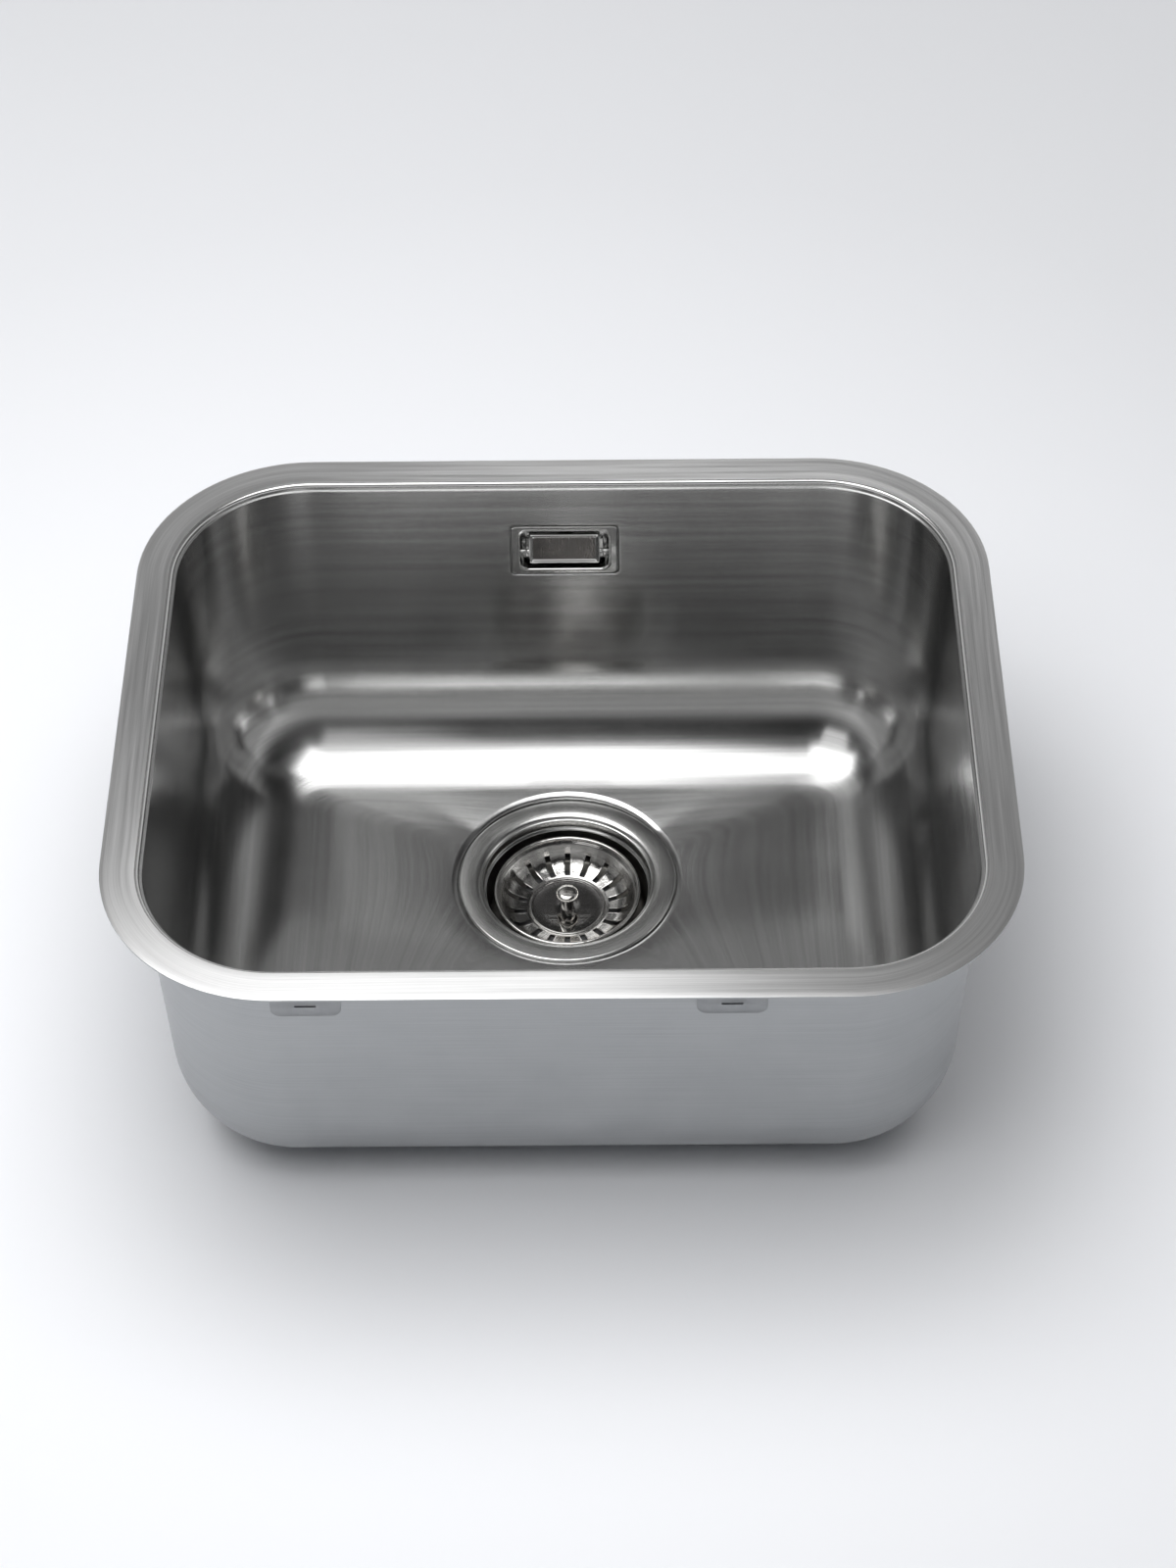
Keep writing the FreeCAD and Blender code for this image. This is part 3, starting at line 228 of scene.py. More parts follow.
# %% Finish of the floor
def floor_paint(start):
    place, _ = axes(start)
    cloud = noise(start, place, 1.5, 1.0)
    away = start.node("VectorMath", {"operation": "LENGTH"}, {0: place}, out="Value")
    return {
        "Base Color": tinted(start, cloud, (0.84, 0.85, 0.88), (0.86, 0.87, 0.895)),
        "Emission Color": tinted(start, levels(start, away, 0.7, 4.5, 0.0, 1.0),
                                 (0.0, 0.0, 0.0), (0.74, 0.75, 0.77)),
    }


floor_mesh.materials.append(finish(
    "studio_floor", 0.0, floor_paint, roughness=0.9, specular_ior_level=0.1, emission_strength=1.0))

# %% [markdown]
# Steel shows what stands round it, so the lights are of two kinds. Panels are what the steel
# reflects: three over the far side, each smaller and brighter than the last, make one soft-edged
# glow, and two more stand nearer the camera. The key and the ceiling only light the floor.

# %% Hang the lights
def soft_light(name, wide, deep, radiance, place, turned, seen_in_gloss):
    """A level rectangle facing down, turned by an angle in degrees; a lamp's watts follow its area."""
    light = bpy.data.lights.new(name, "AREA")
    light.shape = "RECTANGLE"
    light.size = wide
    light.size_y = deep
    light.energy = 4 * radiance * wide * deep
    stand = bpy.data.objects.new(name, light)
    stand.location = place
    stand.rotation_euler = (0, 0, math.radians(turned))
    stand.visible_camera = False
    stand.visible_glossy = seen_in_gloss
    scene.collection.objects.link(stand)
    print(name, round(light.energy, 1), "watts")


soft_light("panel", 1.04, 0.7, 0.7, (-0.2, 0.155, 0.9), -24, True)
soft_light("panel_middle", 0.9, 0.6, 0.9, (-0.2, 0.145, 0.901), -24, True)
soft_light("panel_core", 0.72, 0.46, 1.5, (-0.2, 0.14, 0.902), -24, True)
soft_light("side_panel", 0.6, 0.6, 0.75, (-0.42, -0.44, 0.9), -24, True)
soft_light("front_panel", 0.44, 0.2, 0.14, (0.02, -0.42, 0.9), -12, True)
soft_light("key", 1.0, 0.8, 1.3, (-0.4, -0.5, 1.3), -24, False)
soft_light("ceiling", 4.0, 4.0, 1.03, (-0.2, -0.1, 2.5), 0, False)

# %% [markdown]
# The room above is dark grey, and lighter towards the far side. Near the horizon it is pale like the
# floor, but only where it is seen or mirrored, so that the shadow under the bowl stays deep.

# %% Shade the room
world = bpy.data.worlds.new("room")
scene.world = world
world.use_nodes = True
sky = Signal(world.node_tree)
toward = sky.node("TexCoord", out="Generated")
north, up = (sky.node("SeparateXYZ", {}, {0: toward}, out=i) for i in (1, 2))
above = 0.03 + levels(sky, north, 0.0, 0.6, 0.0, 0.24)
pale = levels(sky, up, 0.34, 0.62, 1.0, 0.0)
to_camera, to_gloss, to_glass = (
    sky.node("LightPath", out=way) for way in ("Is Camera Ray", "Is Glossy Ray", "Is Transmission Ray"))
seen = sky.math("MINIMUM", to_camera + to_gloss + to_glass, 1.0)
background = world.node_tree.nodes["Background"]
background.inputs["Color"].default_value = (1.0, 1.0, 1.0, 1.0)
strength = seen * (0.8 * pale + (1 - pale) * above) + (1 - seen) * 0.03
world.node_tree.links.new(strength.socket, background.inputs["Strength"])

# %% [markdown]
# The steel of the bowl is brushed round and round, parallel to the rim. The bowl's mesh carries a
# value, "across", that grows down the wall and over the floor, so the grain follows the bends.
# Brushing shows twice: as light and dark hairlines, and as a soft spread of every highlight. The
# outside is left as it came from the press: duller, darker, and marked by the dies.

# %% Finishes of the bowl
def bowl_grain(start):
    _, (x, y, _) = axes(start)
    across = start.node("Attribute", {"attribute_name": "across"}, out=2)
    return x, y, across


def brushed_paint(start):
    x, y, across = bowl_grain(start)
    fine = lines(start, x, y, across, 5, 900)
    broad = lines(start, x, y, across, 4, 160)
    place, _ = axes(start)
    handling = noise(start, place, 14.0, 4.0)
    mixed = 0.5 * fine + 0.5 * broad
    return {
        "Base Color": two_tone(start, mixed, (0.51, 0.51, 0.508), (0.62, 0.62, 0.617)),
        "Roughness": levels(start, handling, 0.3, 0.7, 0.17, 0.22) + 0.06 * (broad - 0.5),
        "Normal": relief(start, mixed, 0.000005),
    }


def pressed_paint(start):
    x, y, across = bowl_grain(start)
    fine = lines(start, x, y, across, 12, 1700)
    place, _ = axes(start)
    marks = noise(start, place, 30.0, 5.0)
    return {
        "Base Color": two_tone(start, 0.5 * fine + 0.5 * marks, (0.37, 0.38, 0.39), (0.44, 0.45, 0.46)),
        "Roughness": levels(start, marks, 0.3, 0.7, 0.38, 0.5),
        "Normal": relief(start, fine, 0.00002),
    }


def rim_paint(start):
    x, y, across = bowl_grain(start)
    fine = lines(start, x, y, across, 14, 2200)
    broad = lines(start, x, y, across, 10, 500)
    return {
        "Base Color": two_tone(start, 0.5 * fine + 0.5 * broad, (0.54, 0.54, 0.54), (0.7, 0.7, 0.7)),
        "Roughness": levels(start, broad, 0.3, 0.7, 0.3, 0.42),
        "Normal": relief(start, fine, 0.00002),
    }


brushed_steel = finish("brushed_steel", 1.0, brushed_paint, anisotropic=0.55, anisotropic_rotation=0.25)
rim_steel = finish("rim_steel", 1.0, rim_paint, anisotropic=0.8, anisotropic_rotation=0.25)
pressed_steel = finish("pressed_steel", 1.0, pressed_paint)

# %% [markdown]
# The strainer is turned on a lathe or spun, so its grain runs in circles about the drain. The same
# brush lines do it, with the distance from the drain's axis as the value across them. Below the
# throat the cup is rougher and painted dark with a mottled tone: painted shade for the deep cup. The
# basket and the knob are polished: nearly smooth, with the faint ripple of thin metal that was drawn
# over a tool, and the basket's flat middle, inside its raised ring, is a clean dark mirror.

# %% Finishes of the strainer
DRAIN = Vector((0.0, 0.0487, -0.1785))


def round_drain(start):
    """A point's place, its axes, and its distance from the drain's axis."""
    place, (x, y, z) = axes(start)
    reach = start.node("VectorMath", {"operation": "DISTANCE"}, {
        0: start.node("CombineXYZ", {}, {"X": x, "Y": y}), 1: (DRAIN.x, DRAIN.y, 0.0)}, out="Value")
    return place, x, y, z, reach


def satin_paint(start):
    place, x, y, z, reach = round_drain(start)
    fine = lines(start, x, y, reach + 0.7 * z, 20, 3000)
    cloud = noise(start, place, 40.0, 3.0)
    return {
        "Base Color": two_tone(start, fine, (0.6, 0.6, 0.59), (0.7, 0.7, 0.69)),
        "Roughness": levels(start, cloud, 0.3, 0.7, 0.17, 0.24),
        "Normal": relief(start, fine, 0.00002),
    }


def drawn_paint(start):
    place, x, y, z, reach = round_drain(start)
    drawn = levels(start, reach, 0.019, 0.023, 0.0, 1.0)
    ripple = noise(start, place, 260.0, 3.0)
    rippled = tinted(start, ripple, (0.5, 0.49, 0.475), (0.76, 0.75, 0.73))
    fine = lines(start, x, y, reach + z, 30, 2200)
    return {
        "Base Color": tinted(start, drawn, (0.3, 0.295, 0.29), rippled),
        "Roughness": 0.03 + drawn * levels(start, fine, 0.3, 0.7, 0.05, 0.13),
        "Normal": relief(start, drawn * (0.8 * ripple + 0.2 * fine), 0.0002),
    }


def polished_paint(start):
    place, _ = axes(start)
    smears = noise(start, place, 320.0, 3.0)
    return {
        "Base Color": tinted(start, smears, (0.7, 0.685, 0.66), (0.8, 0.785, 0.755)),
        "Roughness": levels(start, smears, 0.3, 0.7, 0.05, 0.12),
        "Normal": relief(start, smears, 0.00002),
    }


# Painted shade: the deep cup below the throat is coloured dark, standing in for the shade that falls in it;
# the noise only mottles that tone.
def cup_shade_paint(start):
    place, _ = axes(start)
    mottle = noise(start, place, 120.0, 4.0)
    return {
        "Base Color": two_tone(start, mottle, (0.13, 0.125, 0.115), (0.22, 0.215, 0.2)),
        "Roughness": levels(start, mottle, 0.3, 0.7, 0.3, 0.42),
        "Normal": relief(start, mottle, 0.00002),
    }


satin_steel = finish("satin_flange_steel", 1.0, satin_paint)
cup_shade_steel = finish("cup_painted_shade_steel", 1.0, cup_shade_paint)
drawn_steel = finish("drawn_basket_steel", 1.0, drawn_paint)
polished_steel = finish("polished_knob_steel", 1.0, polished_paint)

# %% [markdown]
# The overflow's frame and plate are chromed: bright, with light scuffs. The plate's flat face is
# coloured darker than its border. Brackets are plain sheet steel, darker than the
# bowl, cut from a coil with its own straight grain. Screws are turned and a little darker than the
# chrome. Brass is warm and slightly tarnished. All of them show patches, never one flat tone.

# %% Finishes of the small metal parts
def patched(low, high, rough, grain=90.0):
    """Metal with patches of two tones and fine scuffs."""
    def paint(start):
        place, (x, y, z) = axes(start)
        patches = noise(start, place, grain, 4.0)
        scuffs = lines(start, y, z, x, 60, 1800)
        return {
            "Base Color": two_tone(start, patches, low, high, 0.3, 0.7),
            "Roughness": levels(start, 0.5 * patches + 0.5 * scuffs, 0.3, 0.7, *rough),
            "Normal": relief(start, scuffs, 0.00001),
        }
    return paint


chrome = finish("chromed_trim", 1.0, patched((0.68, 0.68, 0.67), (0.76, 0.76, 0.755), (0.05, 0.14)))
plate_face = finish("plate_face", 1.0, patched((0.2, 0.19, 0.185), (0.28, 0.265, 0.255), (0.2, 0.3)))
bracket_steel = finish("bracket_steel", 1.0, patched(
    (0.27, 0.278, 0.286), (0.33, 0.338, 0.346), (0.34, 0.46)))
screw_steel = finish("fastener_steel", 1.0, patched(
    (0.52, 0.52, 0.51), (0.62, 0.62, 0.61), (0.18, 0.32), grain=300.0))
brass = finish("brass", 1.0, patched((0.62, 0.46, 0.21), (0.76, 0.59, 0.31), (0.16, 0.34), grain=200.0))

# %% [markdown]
# Plumbing plastic is moulded: an even colour with a slight cloudiness, and the fine skin of the
# mould, which softens its highlights. Rubber is nearly black and dry, with a bloom of paler dust.
# The damping pads are bitumen sheets with an embossed grid of small pyramids, 5 mm apart, which a
# wave of 1260 radians per metre in each of two directions gives.

# %% Finishes of plastic, rubber and the damping pads
PYRAMIDS = 1260


def moulded(low, high, rough, skin=1400.0, depth=0.00002):
    """Plastic or rubber with a slow cloud of two tones and the skin of a mould."""
    def paint(start):
        place, _ = axes(start)
        cloud = noise(start, place, 18.0, 3.0)
        texture = noise(start, place, skin, 2.0)
        return {
            "Base Color": two_tone(start, cloud, low, high, 0.3, 0.7),
            "Roughness": levels(start, 0.5 * cloud + 0.5 * texture, 0.35, 0.65, *rough),
            "Normal": relief(start, texture, depth),
        }
    return paint


def pad_paint(start):
    place, (x, y, _) = axes(start)
    grid = start.math("SINE", x * PYRAMIDS) * start.math("SINE", y * PYRAMIDS)
    grit = noise(start, place, 900.0, 3.0)
    return {
        "Base Color": two_tone(start, grit, (0.09, 0.09, 0.095), (0.15, 0.15, 0.155), 0.3, 0.7),
        "Roughness": levels(start, grit, 0.3, 0.7, 0.62, 0.8),
        "Normal": relief(start, grid + 0.25 * grit, 0.0004),
    }


white_plastic = finish("white_plastic", 0.0, moulded((0.76, 0.76, 0.74), (0.82, 0.82, 0.805), (0.32, 0.44)))
grey_plastic = finish("grey_plastic", 0.0, moulded((0.25, 0.26, 0.27), (0.31, 0.32, 0.33), (0.36, 0.5)))
rubber = finish("rubber", 0.0, moulded(
    (0.022, 0.022, 0.023), (0.045, 0.045, 0.046), (0.55, 0.75), skin=700.0, depth=0.00004))
damping_pad = finish("damping_pad", 0.0, pad_paint)
print(len(bpy.data.materials), "materials")

# %% [markdown]
# Pieces are drawn in millimetres about an axis that suits them: the drain's axis, or the overflow's
# own frame, which leans with the wall. One helper places a piece, scales it to metres and hangs it
# on the part of the sink that it moves with. Faces meet smoothly up to an angle, and sharply past it.

# %% Place a finished piece
CREASE = 35
TO_METRES = Matrix.Scale(0.001, 4)
AT_DRAIN = Matrix.Translation(1000 * DRAIN)


def make_piece(form, name, body, replaced, finishes, place=Matrix.Identity(4)):
    bmesh.ops.transform(form, matrix=TO_METRES @ place, verts=form.verts)
    mesh = bpy.data.meshes.new(name)
    form.to_mesh(mesh)
    form.free()
    for material in finishes:
        mesh.materials.append(material)
    mesh.shade_smooth()
    mesh.set_sharp_from_angle(angle=math.radians(CREASE))
    piece = bpy.data.objects.new(name, mesh)
    scene.collection.objects.link(piece)
    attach(piece, body)
    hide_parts(*replaced)
    mesh.calc_loop_triangles()
    print(name, len(mesh.loop_triangles), "triangles")


# %% [markdown]
# Almost everything on the sink that isn't round is a rounded rectangle: the rim, the wall at any
# depth, the overflow. Each point of such a ring is a core point plus the corner's radius outwards,
# so the next ring down keeps the core's share and direction and only changes the sizes. The first
# ring is a square with its corners bevelled; extruding its edges again and again makes the wall.
# A sheet is drawn without thickness, and gets it on its hidden side, as drawings of sheet metal do.

# %% Rings of rounded rectangles
def first_ring(form, sizes, place=Matrix.Identity(4), steps=8, cuts=0, height=0.0):
    """A ring of edges: half width, half length and corner radius are the sizes."""
    half_width, half_length, corner = sizes
    was = set(form.edges)
    square = bmesh.ops.create_grid(
        form, x_segments=1, y_segments=1, size=1.0,
        matrix=Matrix.Translation((0, 0, height)) @ Matrix.Diagonal((half_width, half_length, 1, 1)))
    bmesh.ops.bevel(form, geom=square["verts"], offset=corner, offset_type="OFFSET",
                    affect="VERTICES", segments=steps, profile=0.5, material=-1)
    faces = [f for f in form.faces if len(f.verts) == 4 * (steps + 1) and not any(
        len(e.link_faces) > 1 for e in f.edges)]
    edges = list(faces[-1].edges)
    bmesh.ops.delete(form, geom=faces[-1:], context="FACES_ONLY")
    straight = sorted(edges, key=lambda e: -e.calc_length())[:4]
    if cuts:
        bmesh.ops.subdivide_edges(form, edges=straight, cuts=cuts)
    ring = [e for e in form.edges if e.is_wire and e not in was]
    bmesh.ops.transform(form, matrix=place, verts=list({v for e in ring for v in e.verts}))
    return ring


def next_ring(form, ring, was, now, height, place=Matrix.Identity(4)):
    """Extrude a ring to new sizes and a new height."""
    made = bmesh.ops.extrude_edge_only(form, edges=ring)["geom"]
    back = place.inverted()
    for vert in (g for g in made if isinstance(g, bmesh.types.BMVert)):
        flat = back @ vert.co
        moved = []
        for along, old_half, new_half in zip(flat.xy, was, now):
            core = old_half - was[2]
            held = max(-core, min(core, along))
            moved.append(held / core * (new_half - now[2]) + (along - held) / was[2] * now[2])
        vert.co = place @ Vector((*moved, height))
    return [g for g in made if isinstance(g, bmesh.types.BMEdge)]


def rings(form, ring, sizes, steps, place=Matrix.Identity(4)):
    """Extrude a ring through pairs of sizes and height."""
    for now, height in steps:
        ring = next_ring(form, ring, sizes, now, height, place)
        sizes = now
    return ring


def fill(form, edges):
    """Close loops of edges with faces; a loop inside another stays a hole."""
    bmesh.ops.triangle_fill(form, use_beauty=True, use_dissolve=False, edges=edges)


def thicken(form, thickness, up=True):
    """Give an open sheet its thickness below its faces, which look up, or else down."""
    bmesh.ops.recalc_face_normals(form, faces=form.faces)
    if (sum(f.normal.z * f.calc_area() for f in form.faces) > 0) != up:
        bmesh.ops.reverse_faces(form, faces=form.faces)
    bmesh.ops.solidify(form, geom=form.faces[:], thickness=thickness)
    bmesh.ops.recalc_face_normals(form, faces=form.faces)


def arc(centre_x, centre_z, radius, start, end, steps):
    """Points of an arc, with angles in degrees from the negative x axis down."""
    points = []
    for i in range(1, steps + 1):
        a = math.radians(start + (end - start) * i / steps)
        points.append((centre_x - radius * math.cos(a), centre_z - radius * math.sin(a)))
    return points


def soften(form, radius, angle, steps):
    """Round the edges that turn by more than an angle in degrees."""
    hard = [e for e in form.edges if len(e.link_faces) == 2
            and abs(e.calc_face_angle_signed(0.0)) > math.radians(angle)]
    bmesh.ops.bevel(form, geom=hard, offset=radius, offset_type="OFFSET", affect="EDGES",
                    segments=steps, profile=0.5, material=-1, clamp_overlap=True)


# %% [markdown]
# The bowl starts as one sheet, seen from inside. Each pair below is an inset from the opening's
# edge and a height: the flat rim, the rolled edge, the collar with its narrow ledge, the wall that
# tapers by 2.2 degrees, and the wide bend into the floor. Two rings lie just above and below the
# overflow, so that its opening can be let into plain faces.

# %% Draw the wall of the bowl from the rim down
HALF_WIDTH, HALF_LENGTH, CORNER = 200.0, 167.6, 67.5
RIM = 18.7
SHEET = 1.0
LEAN = 2.2
TAPER = math.tan(math.radians(LEAN))
ROLLED = 2.2


def opening(inset):
    return HALF_WIDTH - inset, HALF_LENGTH - inset, CORNER - inset


profile = [(-15.0, 0.0), (-10.0, 0.0), (-6.0, 0.0), (-ROLLED, 0.0)]
profile += [(-ROLLED + ROLLED * math.sin(a), -ROLLED + ROLLED * math.cos(a))
            for a in (math.radians(15 * i) for i in range(1, 7))]
profile += [(0.0, -3.4), (1.13, -3.4), (1.0 + TAPER * 4.2, -4.2), (1.0 + TAPER * 5.0, -5.0)]
profile += [(1.0 - TAPER * z, z)
            for z in (-12.0, -23.016, -34.0, -45.0, -56.0, -66.984, -80.0, -94.0, -108.0, -121.48)]
profile += arc(62.32, -119.3, 56.7, LEAN, 82.0, 36)

bowl_form = bmesh.new()
across = bowl_form.verts.layers.float.new("across")
ring = first_ring(bowl_form, opening(-RIM), steps=24, cuts=31)
inset, height, travelled = -RIM, 0.0, 0.0
for next_inset, next_height in profile:
    ring = next_ring(bowl_form, ring, opening(inset), opening(next_inset), next_height)
    travelled += math.hypot(next_inset - inset, next_height - height)
    inset, height = next_inset, next_height
    for vert in {v for e in ring for v in e.verts}:
        vert[across] = travelled / 1000
print("wall", len(bowl_form.faces), "faces, ring at", round(height, 2), "mm")

# %% [markdown]
# The floor falls gently from the bend to the drain. Its rings keep their direction as seen from the
# drain's axis and close in on the circle of the recess, which the press stamped for the strainer's
# flange: a rounded lip that leads down beside the flange's edge. The last ring is the edge of the
# waste hole. The lip is drawn in many small steps, so that its shine stays even.

# %% Draw the floor down to the waste hole
def toward_drain(form, ring, radius, height, share=1.0):
    """Extrude a ring by a share of the way to a circle about the drain's axis.

    The height there is worked out from a vertex and its distance from the circle.
    """
    made = bmesh.ops.extrude_edge_only(form, edges=ring)["geom"]
    centre = Vector((0.0, 1000 * DRAIN.y, 0.0))
    for vert in (g for g in made if isinstance(g, bmesh.types.BMVert)):
        outward = Vector((vert.co.x, vert.co.y - centre.y, 0.0))
        reach = outward.length - radius
        target = centre + radius * outward.normalized() + Vector((0, 0, height(vert, reach)))
        vert[across] += (target - vert.co).length * share / 1000
        vert.co = vert.co.lerp(target, share)
    return [g for g in made if isinstance(g, bmesh.types.BMEdge)]


for left in range(8, 0, -1):
    ring = toward_drain(
        bowl_form, ring, 62.4, lambda v, reach: max(-177.85, v.co.z - 0.05 * reach), 1 / left)
for radius, drop in ((62.2, 0.02), (61.9, 0.08), (61.3, 0.22), (60.6, 0.29), (59.9, 0.33), (59.5, 0.26),
                     (59.25, 0.28), (59.1, 0.35), (59.05, 0.4)):
    ring = toward_drain(bowl_form, ring, radius, lambda v, reach: max(-180.2, v.co.z - drop))
for radius in (59.0, 53.0, 47.0):
    ring = toward_drain(bowl_form, ring, radius, lambda v, reach: -180.3)
print("sheet", len(bowl_form.faces), "faces")

# %% [markdown]
# The overflow sits in a shallow stamped recess, so that its frame ends up level with the wall. In
# the frame used here x runs along the wall, y up it and z out of it towards the viewer. The wall's
# faces there are taken out, the gap is filled again round a rounded rectangle, and rings go down
# the slope and in to the hole.

# %% Let the overflow's recess into the rear wall
OVERFLOW_DOWN = 45.0
AT_OVERFLOW = (Matrix.Translation((0.0, HALF_LENGTH - 1.0 - TAPER * OVERFLOW_DOWN, -OVERFLOW_DOWN))
               @ Matrix.Rotation(math.radians(90 - LEAN), 4, "X"))
taken = [f for f in bowl_form.faces
         if abs(f.calc_center_median().x) < 33.1 and f.calc_center_median().y > 150
         and -66.9 < f.calc_center_median().z < -23.1]
edge_of_gap = list(dict.fromkeys(
    e for f in taken for e in f.edges if sum(g in taken for g in e.link_faces) == 1))
bmesh.ops.delete(bowl_form, geom=taken, context="FACES")
recess = (30.6, 18.6, 4.6)
mouth = first_ring(bowl_form, recess, AT_OVERFLOW, steps=8, cuts=7)
for vert in {v for e in mouth for v in e.verts}:
    vert[across] = (23.9 - 3.4 - vert.co.z) / 1000
fill(bowl_form, edge_of_gap + mouth)
ring = rings(bowl_form, mouth, recess, (
    ((29.75, 17.75, 3.75), 0.0), ((29.5, 17.5, 3.5), -0.03), ((29.3, 17.3, 3.3), -0.12),
    ((29.13, 17.13, 3.13), -0.3), ((29.03, 17.03, 3.03), -0.6), ((28.95, 16.95, 2.95), -1.1),
    ((28.9, 16.9, 2.9), -2.0), ((25.0, 14.5, 6.0), -2.0),
), AT_OVERFLOW)
print("recess closes at", len(ring), "edges")

# %% [markdown]
# The sheet gets its thickness of 1 mm outwards, so the room inside stays as drawn. Inside it is
# brushed, the flat of the rim has its own straighter grain, and the outside is as pressed. The cut
# and stamped edges are then rounded a little, as a real press and a deburring wheel leave them.

# %% Thicken the sheet and finish the bowl
inside = list(bowl_form.faces)
thicken(bowl_form, SHEET)
for face in bowl_form.faces:
    face.material_index = 1
for face in inside:
    face.material_index = 2 if face.calc_center_median().z > -0.01 else 0
print("shell", len(bowl_form.faces), "faces, down to", round(min(v.co.z for v in bowl_form.verts), 2), "mm")
soften(bowl_form, 0.35, 28, 3)
make_piece(bowl_form, "pressed_bowl", "sink", ["bowl"],
           [brushed_steel, pressed_steel, rim_steel])

# %% [markdown]
# Round pieces are half sections turned about the drain's axis. A section is a few vertices; where a
# third number is given, that corner is rounded before the turn by bevelling the vertex, as a lathe
# tool with a round nose would. After the turn the points on the axis are merged into one.

# %% Turn a section about an axis
def section(form, points, steps=3):
    """A wire of (radius, height, rounding) points in the XZ plane."""
    verts = [form.verts.new((x, 0.0, z)) for x, z, *_ in points]
    for pair in zip(verts, verts[1:]):
        form.edges.new(pair)
    for vert, (_, _, *rounding) in zip(verts, points):
        if rounding:
            bmesh.ops.bevel(form, geom=[vert], offset=rounding[0], offset_type="OFFSET",
                            affect="VERTICES", segments=steps, profile=0.5, material=-1)
    return form


def turn(form, steps, angle=360.0):
    bmesh.ops.spin(form, geom=form.verts[:] + form.edges[:], axis=(0, 0, 1), cent=(0, 0, 0),
                   dvec=(0, 0, 0), angle=math.radians(angle), steps=steps, use_merge=angle == 360.0,
                   use_duplicate=False)
    bmesh.ops.remove_doubles(form, verts=form.verts, dist=0.0005)
    bmesh.ops.recalc_face_normals(form, faces=form.faces)
    return form


def take_in(form, other):
    """Move a second form's faces into the first, and return its vertices there."""
    was = set(form.verts)
    carried = bpy.data.meshes.new("carried")
    other.to_mesh(carried)
    other.free()
    form.from_mesh(carried)
    bpy.data.meshes.remove(carried)
    return [v for v in form.verts if v not in was]


# %% [markdown]
# The strainer cup hangs in the waste hole by its flange. Seen from above it has a turned-down outer
# lip, a nearly flat satin ring, a rolled inner edge with a fine step, the throat wall and the deep
# cup. Its floor has six water holes and one for the screw: loops of edges inside a larger loop,
# filled together, leave the holes open. Below the throat the cup is dull, with painted shade.

# %% Make the strainer cup
CUP_FLOOR = -31.8
THROAT_END = -8.4
cup_form = section(bmesh.new(), [
    (58.45, -1.3), (58.45, -0.6, 0.35), (57.8, -0.02, 0.5), (48.6, -0.2, 1.8), (46.4, -1.5, 0.8),
    (46.1, -2.3, 0.1), (45.5, -2.45, 0.15), (45.2, -3.0, 0.2), (45.1, -7.5, 0.4), (43.6, -8.3, 0.4),
    (43.6, CUP_FLOOR, 2.8), (32.0, CUP_FLOOR),
])
turn(cup_form, 128)
rim_of_floor = [e for e in cup_form.edges if e.is_boundary and e.verts[0].co.z < CUP_FLOOR + 1]
for i in range(6):
    spot = Matrix.Rotation(math.radians(60 * i), 4, "Z") @ Matrix.Translation((18.0, 0.0, CUP_FLOOR))
    bmesh.ops.create_circle(cup_form, segments=28, radius=6.0, matrix=spot)
bmesh.ops.create_circle(cup_form, segments=24, radius=4.2, matrix=Matrix.Translation((0, 0, CUP_FLOOR)))
fill(cup_form, rim_of_floor + [e for e in cup_form.edges if e.is_wire])
thicken(cup_form, 1.0)
soften(cup_form, 0.2, 60, 2)
# Painted shade: faces below the throat get the dark finish that stands for the cup's shade.
for face in cup_form.faces:
    face.material_index = 1 if face.calc_center_median().z < THROAT_END else 0
make_piece(cup_form, "strainer_cup_spun", "sink", ["strainer_cup"],
           [satin_steel, cup_shade_steel], AT_DRAIN)

# %% [markdown]
# The basket is drawn from thin sheet, with a rolled bead round its mouth, eighteen slots and a
# raised ring round its flat middle. One sector of 20 degrees holds one slot: a cut on each side of
# its middle line, and the faces between the cuts taken out. Seventeen copies complete the round.

# %% Make one sector of the basket
SLOTS = 18
SECTOR = 360 / SLOTS
SLOT_HALF = 1.5
SLOT_START, SLOT_END = 22.4, 33.4
basket_form = section(bmesh.new(), [
    (38.9, -9.3), (38.0, -10.6, 0.5), (36.4, -11.9, 0.5), (SLOT_END, -16.27), (32.6, -17.5, 1.6),
    (29.4, -20.4, 2.4), (24.0, -21.6), (SLOT_START, -21.95), (21.7, -22.2, 0.2), (20.9, -22.4, 0.2),
    (20.5, -21.6, 0.4), (19.3, -21.6, 0.4), (18.9, -22.4, 0.2), (14.0, -22.4), (8.0, -22.4), (2.5, -22.4),
], steps=4)
turn(basket_form, 8, SECTOR)
bmesh.ops.rotate(basket_form, verts=basket_form.verts, cent=(0, 0, 0),
                 matrix=Matrix.Rotation(math.radians(-SECTOR / 2), 3, "Z"))
for side in (-SLOT_HALF, SLOT_HALF):
    cut(basket_form, (0, side, 0), (0, 1, 0))


def in_slot(face):
    middle = face.calc_center_median()
    return abs(middle.y) < SLOT_HALF - 0.01 and SLOT_START < math.hypot(middle.x, middle.y) < SLOT_END


slot_faces = [f for f in basket_form.faces if in_slot(f)]
bmesh.ops.delete(basket_form, geom=slot_faces, context="FACES")
print("sector", len(basket_form.faces), "faces,", len(slot_faces), "taken out")

# %% [markdown]
# The copies are joined before the sheet gets its thickness, so the basket is one closed skin. The
# bead is a ring of its own that swallows the sheet's upper edge, as rolling the edge over does. The
# whole is turned half a sector, so that a slot points to the front as in the photo.

